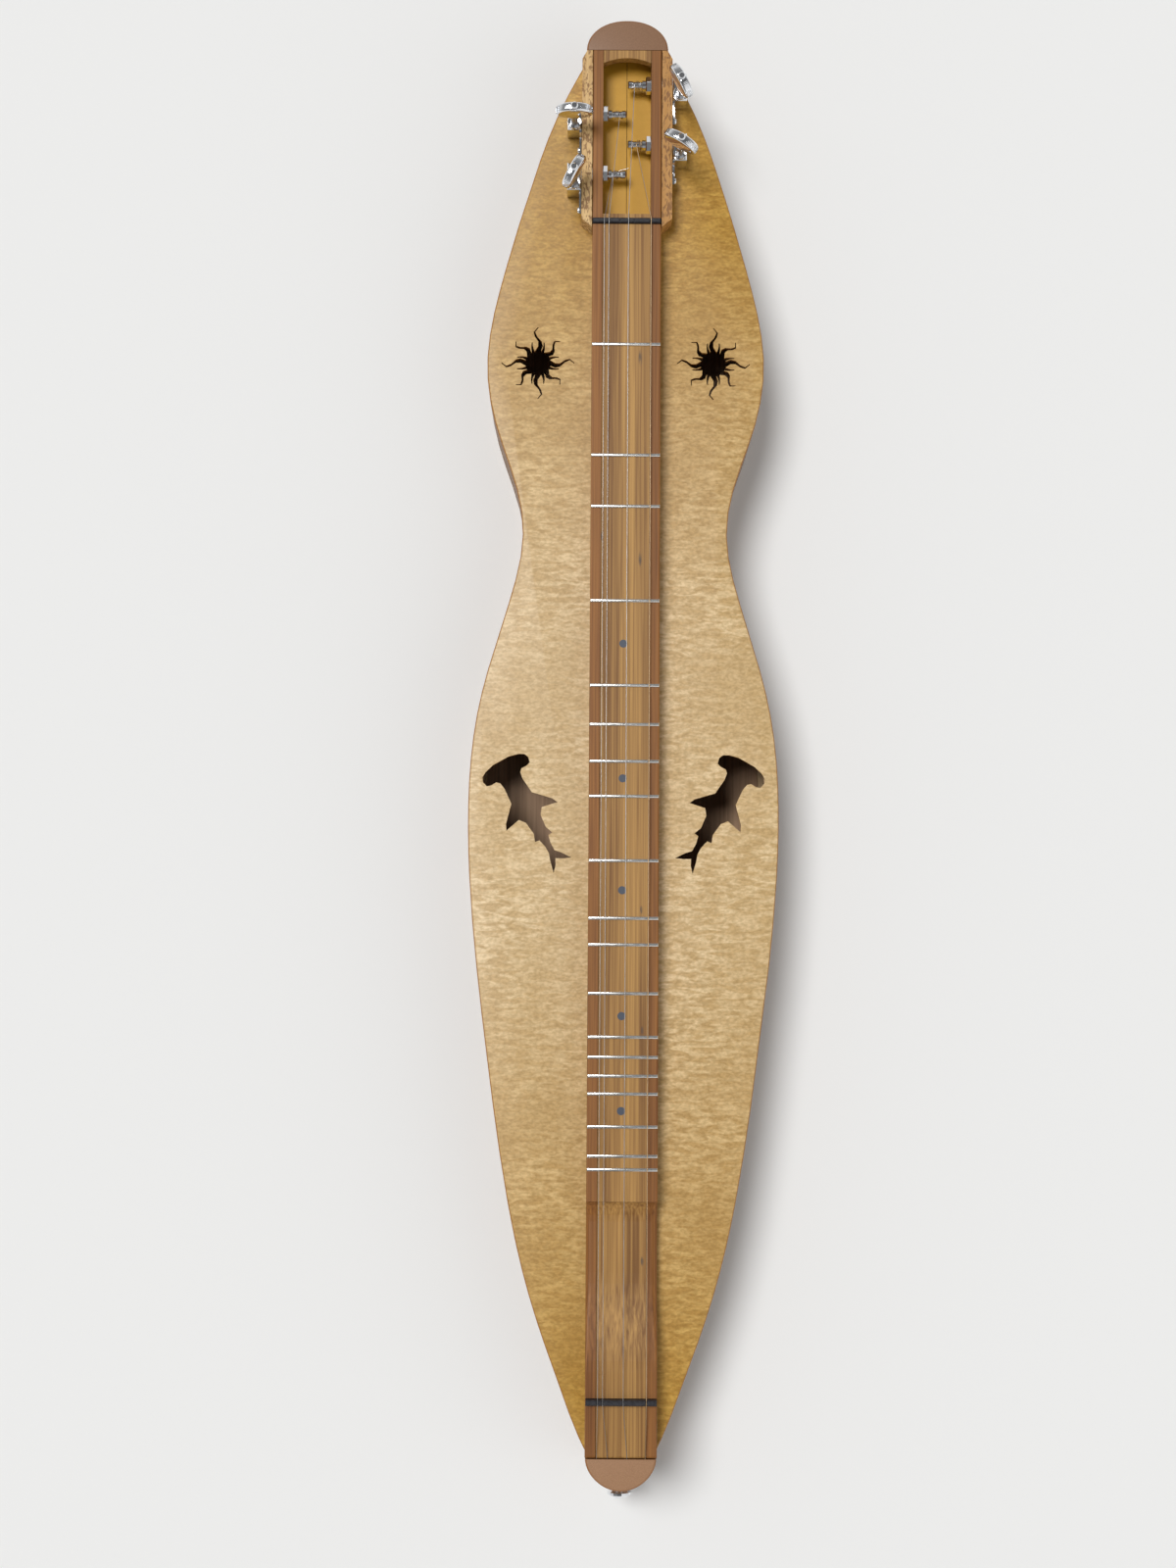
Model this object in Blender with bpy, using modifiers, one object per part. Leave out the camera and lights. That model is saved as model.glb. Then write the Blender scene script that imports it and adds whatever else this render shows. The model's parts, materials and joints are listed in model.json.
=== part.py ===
# Mountain dulcimer with four strings, lying on its back.
# Metres, +Z up. +Y runs towards the head and +X towards the bass string, seen from the front.
# The origin is under the middle of the instrument, on the outer face of its back.
# A station is a distance along the instrument from the nut's centre, positive towards the tail.
import math

import bmesh
import bpy
import numpy as np
from mathutils import Vector

# Clearances
SEAT_GAP = 0.0003
WINDING_GAP = 0.00045

# Flat outlines are drawn this many times larger, so that fine corners fill cleanly
DRAWING_SCALE = 100

# Scale and fretboard
SCALE_LENGTH = 0.6985
BRIDGE_SETBACK = 0.0018
FRETBOARD_RISE = 0.0150
CORE_WIDTH = 0.0290
STRIP_WIDTH = 0.00635
STRIP_EDGE_RADIUS = 0.0008
CORE_AHEAD_OF_NUT = 0.0045
BRIDGE_TO_END = 0.0321
END_EDGE_RADIUS = 0.0015
END_POCKET_TOP = 0.0045
END_POCKET_DEPTH = 0.0040
STRING_GROOVE = 0.0014

# Frets, in semitones above the open string
FRET_SEMITONES = (2, 4, 5, 7, 9, 10, 11, 12, 14, 16, 17, 19, 21, 22, 23, 24, 26, 28, 29)
FRET_WIDTH = 0.0020
FRET_CROWN = 0.0009
FRET_SEAT = 0.0005
FRET_END_INSET = 0.0003

# Strum hollow
HOLLOW_AFTER_LAST_FRET = 0.0185
HOLLOW_BEFORE_BRIDGE = 0.0168
HOLLOW_DEPTH = 0.0060
HOLLOW_ENTRY = 0.0120
HOLLOW_RAMP = 0.0560
HOLLOW_EDGE_RADIUS = 0.0032

# Nut and bridge
NUT_THICKNESS = 0.0030
NUT_SEAT = 0.0030
NUT_RISE = 0.0022
BRIDGE_THICKNESS = 0.0032
BRIDGE_SEAT = 0.0030
BRIDGE_RISE = 0.0050
SADDLE_EDGE = 0.0006
NOTCH_SIDE_GAP = 0.0003
SPARE_NOTCHES = (-0.0041, 0.0047)
SPARE_NOTCH_WIDTH = 0.0007
SPARE_NOTCH_DEPTH = 0.0008

# Peg box and the two end caps
PEG_BOX_LENGTH = 0.1070
CHEEK_THICKNESS = 0.0066
CHEEK_PAST_NUT = 0.0036
CHEEK_CHAMFER = 0.0054
ARCH_THICKNESS = 0.0062
ARCH_REACH = 0.0051
ARCH_RISE = 0.0031
HEAD_CAP_LENGTH = 0.0188
TAIL_CAP_LENGTH = 0.0177
TAIL_CAP_DROP = 0.0006
CAP_EDGE_RADIUS = 0.0016

# Sound box
BACK_THICKNESS = 0.0028
RIB_HEIGHT = 0.0500
RIB_THICKNESS = 0.0024
SOUNDBOARD_THICKNESS = 0.0030
LINING_WIDTH = 0.0055
LINING_HEIGHT = 0.0065
HEAD_BLOCK_NOSE = 0.0280
HEAD_BLOCK_TONGUE = 0.0180
TAIL_BLOCK_NOSE = 0.0330
TAIL_BLOCK_TONGUE = 0.0180
BRACE_WIDTH = 0.0080
BRACE_HEIGHT = 0.0095
SOUNDBOARD_BRACES = {"soundboard_brace_head": 0.0150, "soundboard_brace_tail": 0.4700}
BACK_BRACES = {"back_brace_head": 0.1250, "back_brace_tail": 0.5200}

# Body outline as (distance, half width). The first group is measured from the head end,
# the second from the nut and the third from the tail end.
HEAD_OUTLINE = ((0.0000, 0.0131), (0.0188, 0.0243), (0.0598, 0.0449), (0.0908, 0.0559))
BOUT_OUTLINE = (
    (0.0320, 0.0755),
    (0.0860, 0.0843),
    (0.1250, 0.0779),
    (0.1600, 0.0662),
    (0.1890, 0.0617),
    (0.2260, 0.0683),
    (0.2910, 0.0867),
    (0.3570, 0.0930),
    (0.4300, 0.0892),
)
TAIL_OUTLINE = (
    (0.2485, 0.0804),
    (0.1655, 0.0677),
    (0.1085, 0.0541),
    (0.0585, 0.0367),
    (0.0215, 0.0216),
    (0.0000, 0.0101),
)
NOSE_CORNER_RADIUS = 0.0040
OUTLINE_SPANS = 64

# Sound holes: a flaming sun in each upper bout and a hammerhead fish in each lower bout
SUN_STATION = 0.0838
SUN_OUT = 0.0534
SUN_CORE = 0.0078
SUN_RAY_LENGTHS = (0.0222, 0.0190)
SUN_SPARK_LENGTH = 0.0132
SUN_RAY_ROOT = 0.0036
SUN_SPARK_ROOT = 0.0020
SUN_TIP = 0.0007
SUN_RAY_SWAY = 0.0021
SUN_SPARK_SWAY = 0.0016
FISH_STATION = 0.3272
FISH_OUT = 0.0737
FISH_TILT = math.radians(29.7)
FISH_LENGTH = 0.0666
FISH_HEAD_HALF = 0.0155
FISH_NECK_HALF = 0.0064
FISH_FIN_HALF = 0.0175
FISH_STEM_HALF = 0.0019
FISH_TAIL_HALF = 0.0085

# Strings: name, diameter, place at the nut, place at the bridge, place at the tail pin
MELODY_DIAMETER = 0.00032
MIDDLE_DIAMETER = 0.00038
BASS_DIAMETER = 0.00056
STRING_AT_NUT = 0.0017
STRING_AT_BRIDGE = 0.0046
STRINGS = {
    "string_melody_outer": (MELODY_DIAMETER, -0.0135, -0.0136, -0.0140),
    "string_melody_inner": (MELODY_DIAMETER, -0.0108, -0.0107, -0.0077),
    "string_middle": (MIDDLE_DIAMETER, 0.0010, 0.0012, 0.0036),
    "string_bass": (BASS_DIAMETER, 0.0147, 0.0145, 0.0142),
}
TAIL_PIN_RADIUS = 0.00075
TAIL_PIN_HEAD_RADIUS = 0.0012
TAIL_PIN_HEAD = 0.0006
TAIL_PIN_LENGTH = 0.0100
TAIL_PIN_DROP = 0.0095
TAIL_PIN_SHORT_OF_END = 0.0003

# Strap pin in the middle of the tail end
STRAP_PIN_LENGTH = 0.0125
STRAP_PIN_RADIUS = 0.0072
STRAP_PIN_WAIST = 0.0034
STRAP_PIN_SHANK = 0.0018
STRAP_PIN_SHANK_LENGTH = 0.0160

# Geared tuners. The post lies across the slot and the button stands over the cheek.
FIRST_POST = 0.0311
POST_SPACING = 0.0187
HOUSING_ABOVE_BOARD = 0.0005
HOUSING_BELOW_POST = 0.0080
HOUSING_ABOVE_POST = 0.0059
HOUSING_DEPTH = 0.0085
HOUSING_AHEAD = 0.0055
HOUSING_PAST_WORM = 0.0044
HOUSING_EDGE = 0.0008
TAB_REACH = 0.0255
TAB_THICKNESS = 0.0012
TAB_WIDTH = 0.0064
GEAR_RADIUS = 0.0042
GEAR_THICKNESS = 0.0030
GEAR_TEETH = 14
GEAR_TOOTH_DEPTH = 0.0008
WORM_RADIUS = 0.0025
WORM_ROOT = 0.0019
WORM_THREADS = 4
WORM_SHAFT = 0.0018
MESH_GAP = 0.0003
CHAMBER_GAP = 0.0004
POST_RADIUS = 0.0030
POST_WAIST = 0.0022
POST_FLARE = 0.0027
POST_TIP_FROM_CENTRE = 0.0004
POST_FLARE_LENGTH = 0.0022
POST_WAIST_START = 0.0038
POST_WAIST_END = 0.0088
POST_STUB = 0.0018
POST_STUB_LENGTH = 0.0007
BUSHING_RADIUS = 0.0042
FERRULE_ACROSS_FLATS = 0.0092
FERRULE_HEIGHT = 0.0029
NECK_RADIUS = 0.0022
BUTTON_GAP_ABOVE_HOUSING = 0.0116
BUTTON_WIDTH = 0.0218
BUTTON_HEIGHT = 0.0143
BUTTON_THICKNESS = 0.0063
BUTTON_END_TAPER = 0.38
BUTTON_EDGE = 0.0014
SPIGOT_RADIUS = 0.0015
SPIGOT_LENGTH = 0.0085
BUTTON_SCREW_SHANK = 0.0011
BUTTON_SCREW_HEAD = 0.0023
BUTTON_SCREW_HEAD_HEIGHT = 0.0011
WORM_RATIO = 14

# Each tuner: name, place in the row of posts, side, button's turn, string, loops,
# distance of the string from its end of the waist, whether it winds towards the tip,
# and the length of the string's loose end
TUNERS = (
    ("melody_outer", 0, -1, 61.5, 3, 0.0006, True, 0.0062),
    ("bass", 1, 1, -32.0, 2, 0.0016, False, 0.0),
    ("melody_inner", 2, -1, 0.0, 3, 0.0006, False, 0.0),
    ("middle", 3, 1, -61.6, 3, 0.0006, False, 0.0),
)

# Levels and stations that follow from the sizes above
RIB_BOTTOM = BACK_THICKNESS + SEAT_GAP
RIB_TOP = RIB_BOTTOM + RIB_HEIGHT
BOARD_BOTTOM = RIB_TOP + SEAT_GAP
BOARD_TOP = BOARD_BOTTOM + SOUNDBOARD_THICKNESS
NECK_BOTTOM = BOARD_TOP + SEAT_GAP
NECK_TOP = BOARD_TOP + FRETBOARD_RISE
SLOT_HALF = CORE_WIDTH / 2
NECK_HALF = SLOT_HALF + STRIP_WIDTH
CHEEK_OUTER = NECK_HALF + CHEEK_THICKNESS
HEAD_END = -(PEG_BOX_LENGTH + HEAD_CAP_LENGTH)
BRIDGE_STATION = SCALE_LENGTH + BRIDGE_SETBACK
NECK_END = BRIDGE_STATION + BRIDGE_TO_END
TAIL_CAP_START = NECK_END + STRING_GROOVE
TAIL_END = TAIL_CAP_START + TAIL_CAP_LENGTH
RIB_HEAD = HEAD_END + HEAD_BLOCK_NOSE
RIB_TAIL = TAIL_END - TAIL_BLOCK_NOSE
NUT_Y = (TAIL_END + SEAT_GAP + STRAP_PIN_LENGTH + HEAD_END) / 2
POST_LEVEL = BOARD_TOP + HOUSING_ABOVE_BOARD + HOUSING_BELOW_POST
HOUSING_BOTTOM = POST_LEVEL - HOUSING_BELOW_POST
HOUSING_TOP = POST_LEVEL + HOUSING_ABOVE_POST
HOUSING_INNER = CHEEK_OUTER + SEAT_GAP
HOUSING_OUTER = HOUSING_INNER + HOUSING_DEPTH
WORM_OFFSET = GEAR_RADIUS + WORM_RADIUS + MESH_GAP
WORM_OUT = HOUSING_INNER + HOUSING_DEPTH / 2
BUTTON_BOTTOM = HOUSING_TOP + BUTTON_GAP_ABOVE_HOUSING
BUTTON_TOP = BUTTON_BOTTOM + BUTTON_HEIGHT


# Scene and material helpers


def clear_scene():
    for leftover in list(bpy.data.objects):
        bpy.data.objects.remove(leftover, do_unlink=True)


def new_collection(name):
    group = bpy.data.collections.new(name)
    bpy.context.scene.collection.children.link(group)
    return group


def new_material(name, colour, roughness, metallic=0.0):
    material = bpy.data.materials.new(name)
    material.use_nodes = True
    shader = material.node_tree.nodes["Principled BSDF"]
    shader.inputs["Base Color"].default_value = (*colour, 1.0)
    shader.inputs["Roughness"].default_value = roughness
    shader.inputs["Metallic"].default_value = metallic
    return material


def new_object(name, data, material=None, cutter=False):
    thing = bpy.data.objects.new(name, data)
    (cutters if cutter else parts).objects.link(thing)
    if material:
        data.materials.append(material)
    if cutter:
        thing.hide_render = True
        thing.display_type = "WIRE"
    return thing


# Shape helpers


def y_at(station):
    return NUT_Y - station


def smooth_through(points):
    # Natural cubic curve through (station, value) points.
    places = np.array([point[0] for point in points])
    values = np.array([point[1] for point in points])
    steps = np.diff(places)
    count = len(places)
    system = np.eye(count)
    pull = np.zeros(count)
    for i in range(1, count - 1):
        system[i, i - 1 : i + 2] = (steps[i - 1], 2 * (steps[i - 1] + steps[i]), steps[i])
        after = (values[i + 1] - values[i]) / steps[i]
        before = (values[i] - values[i - 1]) / steps[i - 1]
        pull[i] = 6 * (after - before)
    bend = np.linalg.solve(system, pull)

    def value_at(place):
        i = int(np.clip(np.searchsorted(places, place) - 1, 0, count - 2))
        left = (places[i + 1] - place) / steps[i]
        right = 1 - left
        curve = (left**3 - left) * bend[i] + (right**3 - right) * bend[i + 1]
        return left * values[i] + right * values[i + 1] + curve * steps[i] ** 2 / 6

    return value_at


def outline_stations():
    points = [(HEAD_END + distance, half) for distance, half in HEAD_OUTLINE]
    points += list(BOUT_OUTLINE)
    points += [(TAIL_END - distance, half) for distance, half in TAIL_OUTLINE]
    return points


def side_point(station, inset=0.0):
    # A point of the body's side, moved inwards square to the outline, as (out, station).
    probe = 0.0005
    out = half_width(station)
    slope = (half_width(station + probe) - half_width(station - probe)) / (2 * probe)
    length = math.hypot(1.0, slope)
    return (out - inset / length, station + inset * slope / length)


def side_run(first, last, inset=0.0):
    # Points along the side on one grid of stations, so that neighbours follow the same facets.
    step = (TAIL_END - HEAD_END) / OUTLINE_SPANS
    grid = [HEAD_END + step * i for i in range(OUTLINE_SPANS + 1)]
    inside = [station for station in grid if first + step / 8 < station < last - step / 8]
    return [side_point(station, inset) for station in (first, *inside, last)]


def station_where_half_is(half, first, last):
    # The station between two others where the widening head reaches a half width.
    for _ in range(40):
        middle = (first + last) / 2
        if half_width(middle) < half:
            first = middle
        else:
            last = middle
    return (first + last) / 2


def rounded_corner(before, corner, after, radius, spans=4):
    # Points of an arc that replaces a corner.
    to_before = (Vector(before) - Vector(corner)).normalized()
    to_after = (Vector(after) - Vector(corner)).normalized()
    half_angle = to_before.angle(to_after) / 2
    centre = Vector(corner) + (to_before + to_after).normalized() * radius / math.sin(half_angle)
    start = Vector(corner) + to_before * radius / math.tan(half_angle) - centre
    end = Vector(corner) + to_after * radius / math.tan(half_angle) - centre
    arc = []
    for i in range(spans + 1):
        direction = start.lerp(end, i / spans).normalized()
        arc.append(tuple(centre + direction * radius))
    return arc


def nose_points(end, inward, last):
    # Half of a nose from the middle of its flat end round the corner and along the side.
    corner = (half_width(end), end)
    side = side_run(*sorted((end, last)))
    if inward < 0:
        side.reverse()
    arc = rounded_corner((0.0, end), corner, side[1], NOSE_CORNER_RADIUS)
    clear = arc[-1][1]
    rest = [point for point in side if (point[1] - clear) * inward > 0.001]
    return arc + rest


def curve_plate(name, outline, thickness, material, holes=(), cutter=False):
    # A flat piece cut from an outline, centred on its own XY plane.
    curve = bpy.data.curves.new(name, "CURVE")
    curve.dimensions = "2D"
    curve.fill_mode = "BOTH"
    curve.extrude = thickness / 2 * DRAWING_SCALE
    for loop in (outline, *holes):
        spline = curve.splines.new("POLY")
        spline.points.add(len(loop) - 1)
        for point, (across, along) in zip(spline.points, loop):
            point.co = (across * DRAWING_SCALE, along * DRAWING_SCALE, 0.0, 1.0)
        spline.use_cyclic_u = True
    piece = new_object(name, curve, material, cutter)
    piece.scale = (1 / DRAWING_SCALE,) * 3
    return piece


def plate(name, outline, bottom, top, material, holes=()):
    # A flat piece seen from above, from (x, station) points.
    flat = [(x, y_at(station)) for x, station in outline]
    cut = [[(x, y_at(station)) for x, station in hole] for hole in holes]
    piece = curve_plate(name, flat, top - bottom, material, cut)
    piece.location = (0.0, 0.0, (bottom + top) / 2)
    return piece


def side_plate(name, profile, width, material):
    # A piece seen from its side, from (station, level) points, centred across the instrument.
    piece = curve_plate(name, [(y_at(s), z) for s, z in profile], width, material)
    piece.rotation_euler = (math.radians(90), 0.0, math.radians(90))
    return piece


def as_mesh(piece):
    # The same piece as a welded mesh in world place, with flat faces made whole again.
    bpy.context.view_layer.update()
    evaluated = piece.evaluated_get(bpy.context.evaluated_depsgraph_get())
    mesh = bpy.data.meshes.new_from_object(evaluated)
    mesh.transform(piece.matrix_world)
    name = piece.name
    home = piece.users_collection[0]
    hidden = piece.hide_render
    shown_as = piece.display_type
    bpy.data.objects.remove(piece, do_unlink=True)
    shape = bmesh.new()
    shape.from_mesh(mesh)
    bmesh.ops.remove_doubles(shape, verts=shape.verts, dist=0.00001)
    bmesh.ops.dissolve_limit(
        shape, angle_limit=math.radians(0.5), verts=shape.verts, edges=shape.edges
    )
    bmesh.ops.recalc_face_normals(shape, faces=shape.faces)
    shape.to_mesh(mesh)
    shape.free()
    result = bpy.data.objects.new(name, mesh)
    home.objects.link(result)
    result.hide_render = hidden
    result.display_type = shown_as
    return result


def round_upper_rim(piece, radius, segments=2):
    # Rounds the edge between a slab's top face and its sides.
    shape = bmesh.new()
    shape.from_mesh(piece.data)
    top = max(vertex.co.z for vertex in shape.verts)
    rim = [
        edge
        for edge in shape.edges
        if all(abs(vertex.co.z - top) < 0.00001 for vertex in edge.verts)
    ]
    bmesh.ops.bevel(
        shape, geom=rim, offset=radius, segments=segments, profile=0.5, affect="EDGES"
    )
    shape.to_mesh(piece.data)
    shape.free()


def box_mesh(name, boxes):
    # One mesh of separate boxes, each given by its lowest and highest corner.
    shape = bmesh.new()
    for low, high in boxes:
        made = bmesh.ops.create_cube(shape, size=1.0)
        size = Vector(high) - Vector(low)
        middle = (Vector(high) + Vector(low)) / 2
        bmesh.ops.scale(shape, vec=size, verts=made["verts"])
        bmesh.ops.translate(shape, vec=middle, verts=made["verts"])
    mesh = bpy.data.meshes.new(name)
    shape.to_mesh(mesh)
    shape.free()
    return mesh


def box(name, low, high, material=None, cutter=False):
    return new_object(name, box_mesh(name, [(low, high)]), material, cutter)


def turned(name, profile, sides, location, rotation, material=None, cutter=False):
    # A turned piece from (radius, height) points that run down its outer side.
    mesh = bpy.data.meshes.new(name)
    edges = [(i, i + 1) for i in range(len(profile) - 1)]
    mesh.from_pydata([(radius, 0.0, height) for radius, height in profile], edges, [])
    piece = new_object(name, mesh, material, cutter)
    piece.location = location
    piece.rotation_euler = rotation
    screw = piece.modifiers.new("Turn", "SCREW")
    screw.axis = "Z"
    screw.steps = sides
    screw.render_steps = sides
    screw.use_merge_vertices = True
    screw.merge_threshold = 0.00001
    return piece


def rod(name, radius, bottom, top, location, rotation=(0.0, 0.0, 0.0), sides=16, **extra):
    # A plain round rod between two heights on its own axis.
    profile = [(0.0, top), (radius, top), (radius, bottom), (0.0, bottom)]
    return turned(name, profile, sides, location, rotation, **extra)


def boolean(piece, tool, operation):
    modifier = piece.modifiers.new(tool.name, "BOOLEAN")
    modifier.operation = operation
    modifier.solver = "EXACT"
    modifier.object = tool
    return piece


def cut(piece, *tools):
    for tool in tools:
        boolean(piece, tool, "DIFFERENCE")


def tube(name, points, diameter, material):
    # A wire along world points.
    curve = bpy.data.curves.new(name, "CURVE")
    curve.dimensions = "3D"
    curve.bevel_depth = diameter / 2
    curve.bevel_resolution = 1
    curve.use_fill_caps = True
    spline = curve.splines.new("POLY")
    spline.points.add(len(points) - 1)
    for point, place in zip(spline.points, points):
        point.co = (*place, 1.0)
    return new_object(name, curve, material)


def mirrored(points, side):
    # Points of the right half, put on the side asked for.
    return [(side * x, station) for x, station in points]


# Sound box


def ray_points(angle, root, length, width, sway, waves):
    # One flame of the sun: up one flank, over the tip and back down the other.
    left = []
    right = []
    spans = 5 if waves else 3
    for i in range(spans + 1):
        t = i / spans
        reach = root + (length - root) * t
        half = (width * (1 - t) ** 1.3 + SUN_TIP * t) / 2
        lean = sway * math.sin(2 * math.pi * t) * (0.6 + 0.7 * t) if waves else sway * t * t
        for flank, side in ((left, 1), (right, -1)):
            across = lean + side * half
            x = reach * math.cos(angle) - across * math.sin(angle)
            y = reach * math.sin(angle) + across * math.cos(angle)
            flank.append((x, y))
    return right + left[::-1]


def sun_outline():
    # Eight long flames with a small one between each two, about the sun's own centre.
    points = []
    for i in range(8):
        long_angle = math.radians(45 * i)
        length = SUN_RAY_LENGTHS[i % 2]
        root = SUN_CORE * 0.98
        points += ray_points(long_angle, root, length, SUN_RAY_ROOT, SUN_RAY_SWAY, True)
        spark_angle = long_angle + math.radians(22.5)
        turn = 1 if i % 2 else -1
        sway = SUN_SPARK_SWAY * turn
        points += ray_points(spark_angle, root, SUN_SPARK_LENGTH, SUN_SPARK_ROOT, sway, False)
    return [(SUN_OUT + x, SUN_STATION - y) for x, y in points]


def fish_outline():
    # A hammerhead seen from above, from snout to tail down one side and back up the other.
    # Each point is a share of the length along the fish and a distance from its middle line.
    flank = (
        (0.000, 0.35 * FISH_HEAD_HALF),
        (0.022, 0.72 * FISH_HEAD_HALF),
        (0.050, 0.93 * FISH_HEAD_HALF),
        (0.090, FISH_HEAD_HALF),
        (0.140, 0.95 * FISH_HEAD_HALF),
        (0.152, 0.78 * FISH_HEAD_HALF),
        (0.150, 0.56 * FISH_HEAD_HALF),
        (0.175, 1.08 * FISH_NECK_HALF),
        (0.235, 0.97 * FISH_NECK_HALF),
        (0.320, 1.05 * FISH_NECK_HALF),
        (0.385, 1.10 * FISH_NECK_HALF),
        (0.455, 0.66 * FISH_FIN_HALF),
        (0.520, 0.90 * FISH_FIN_HALF),
        (0.575, FISH_FIN_HALF),
        (0.560, 0.72 * FISH_FIN_HALF),
        (0.545, 0.45 * FISH_FIN_HALF),
        (0.600, 0.78 * FISH_NECK_HALF),
        (0.720, 0.64 * FISH_NECK_HALF),
        (0.790, 0.92 * FISH_NECK_HALF),
        (0.795, 0.48 * FISH_NECK_HALF),
        (0.870, FISH_STEM_HALF),
        (0.940, FISH_STEM_HALF),
    )
    long_lobe = (
        (0.985, 0.55 * FISH_TAIL_HALF),
        (1.070, FISH_TAIL_HALF),
        (1.040, 0.45 * FISH_TAIL_HALF),
    )
    short_lobe = (
        (1.000, 0.40 * FISH_TAIL_HALF),
        (1.115, 0.62 * FISH_TAIL_HALF),
        (1.060, 0.22 * FISH_TAIL_HALF),
    )
    fork = ((1.005, 0.0),)
    near = [(share, -across) for share, across in flank + long_lobe]
    far = [(share, across) for share, across in flank + short_lobe]
    points = near + list(fork) + far[::-1]
    placed = []
    for share, across in points:
        along = share * FISH_LENGTH
        out = FISH_OUT - along * math.sin(FISH_TILT) + across * math.cos(FISH_TILT)
        station = FISH_STATION + along * math.cos(FISH_TILT) + across * math.sin(FISH_TILT)
        placed.append((out, station))
    return placed


def half_board_outline():
    inner = SEAT_GAP / 2
    head = nose_points(HEAD_END, 1, (HEAD_END + TAIL_END) / 2)
    tail = nose_points(TAIL_END, -1, (HEAD_END + TAIL_END) / 2)
    outer = head + tail[-2::-1]
    return [(inner, HEAD_END)] + outer + [(inner, TAIL_END)]


def fretwork_cutter(name, outline):
    # A tall plug in the shape of one sound hole.
    shape = bmesh.new()
    levels = (BOARD_BOTTOM - SOUNDBOARD_THICKNESS, BOARD_TOP + SOUNDBOARD_THICKNESS)
    rings = []
    for level in levels:
        rings.append([shape.verts.new((x, y_at(station), level)) for x, station in outline])
        shape.faces.new(rings[-1])
    for i in range(len(outline)):
        j = (i + 1) % len(outline)
        shape.faces.new((rings[0][i], rings[0][j], rings[1][j], rings[1][i]))
    bmesh.ops.recalc_face_normals(shape, faces=shape.faces)
    mesh = bpy.data.meshes.new(name)
    shape.to_mesh(mesh)
    shape.free()
    return new_object(name, mesh, cutter=True)


def build_boards():
    outline = half_board_outline()
    for side, word in ((-1, "left"), (1, "right")):
        name = "soundboard_" + word
        board = plate(name, mirrored(outline, side), BOARD_BOTTOM, BOARD_TOP, curly_maple)
        board = as_mesh(board)
        cut(board, fretwork_cutter("sun_" + word, mirrored(sun_outline(), side)))
        cut(board, fretwork_cutter("fish_" + word, mirrored(fish_outline(), side)))
        plate("back_" + word, mirrored(outline, side), 0.0, BACK_THICKNESS, walnut)


def build_ribs():
    outer = side_run(RIB_HEAD, RIB_TAIL)
    inner = side_run(RIB_HEAD, RIB_TAIL, RIB_THICKNESS)
    for side, word in ((-1, "left"), (1, "right")):
        outline = mirrored(outer + inner[::-1], side)
        plate("rib_" + word, outline, RIB_BOTTOM, RIB_TOP, walnut)


def block_outline(end, inward, shoulder, tongue):
    # A block that fills the nose and steps in between the ribs.
    step = RIB_THICKNESS + SEAT_GAP
    full = nose_points(end, inward, shoulder - inward * SEAT_GAP)
    first = shoulder - inward * SEAT_GAP
    inner = side_run(*sorted((first, shoulder + inward * tongue)), step)
    if inward < 0:
        inner.reverse()
    half = full + inner
    return half + [(-x, station) for x, station in reversed(half)]


def build_blocks():
    head = block_outline(HEAD_END, 1, RIB_HEAD, HEAD_BLOCK_TONGUE)
    plate("head_block", head, RIB_BOTTOM, RIB_TOP, end_grain)
    tail = block_outline(TAIL_END, -1, RIB_TAIL, TAIL_BLOCK_TONGUE)
    block = as_mesh(plate("tail_block", tail, RIB_BOTTOM, RIB_TOP, end_grain))
    bore = rod(
        "strap_pin_bore",
        STRAP_PIN_SHANK + SEAT_GAP,
        -STRAP_PIN_SHANK_LENGTH - SEAT_GAP,
        SEAT_GAP * 4,
        (0.0, y_at(TAIL_END), (RIB_BOTTOM + RIB_TOP) / 2),
        (math.radians(90), 0.0, 0.0),
        cutter=True,
    )
    cut(block, bore)


def lining_ends():
    first = RIB_HEAD + HEAD_BLOCK_TONGUE + 2 * RIB_THICKNESS
    last = RIB_TAIL - TAIL_BLOCK_TONGUE - 2 * RIB_THICKNESS
    return first, last


def build_linings():
    first, last = lining_ends()
    near = RIB_THICKNESS + SEAT_GAP
    outer = side_run(first, last, near)
    inner = side_run(first, last, near + LINING_WIDTH)
    levels = {
        "top": (RIB_TOP - LINING_HEIGHT, RIB_TOP),
        "back": (RIB_BOTTOM, RIB_BOTTOM + LINING_HEIGHT),
    }
    for level, (bottom, top) in levels.items():
        for side, word in ((-1, "left"), (1, "right")):
            outline = mirrored(outer + inner[::-1], side)
            plate(f"lining_{level}_{word}", outline, bottom, top, lining_wood)


def brace_half_length(station):
    # The room between the linings over the width of a brace.
    inset = RIB_THICKNESS + LINING_WIDTH + 3 * SEAT_GAP
    edges = (station - BRACE_WIDTH, station, station + BRACE_WIDTH)
    return min(side_point(edge, inset)[0] for edge in edges)


def build_braces():
    for name, station in SOUNDBOARD_BRACES.items():
        build_brace(name, station, RIB_TOP - BRACE_HEIGHT, RIB_TOP)
    for name, station in BACK_BRACES.items():
        build_brace(name, station, RIB_BOTTOM, RIB_BOTTOM + BRACE_HEIGHT)


def build_brace(name, station, bottom, top):
    half = brace_half_length(station)
    low = (-half, y_at(station) - BRACE_WIDTH / 2, bottom)
    high = (half, y_at(station) + BRACE_WIDTH / 2, top)
    box(name, low, high, lining_wood)


# Fretboard, nut, bridge and frets


def fret_station(semitones):
    return SCALE_LENGTH * (1 - 2 ** (-semitones / 12))


def hollow_ends():
    start = fret_station(FRET_SEMITONES[-1]) + HOLLOW_AFTER_LAST_FRET
    end = BRIDGE_STATION - HOLLOW_BEFORE_BRIDGE
    return start, end


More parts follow.
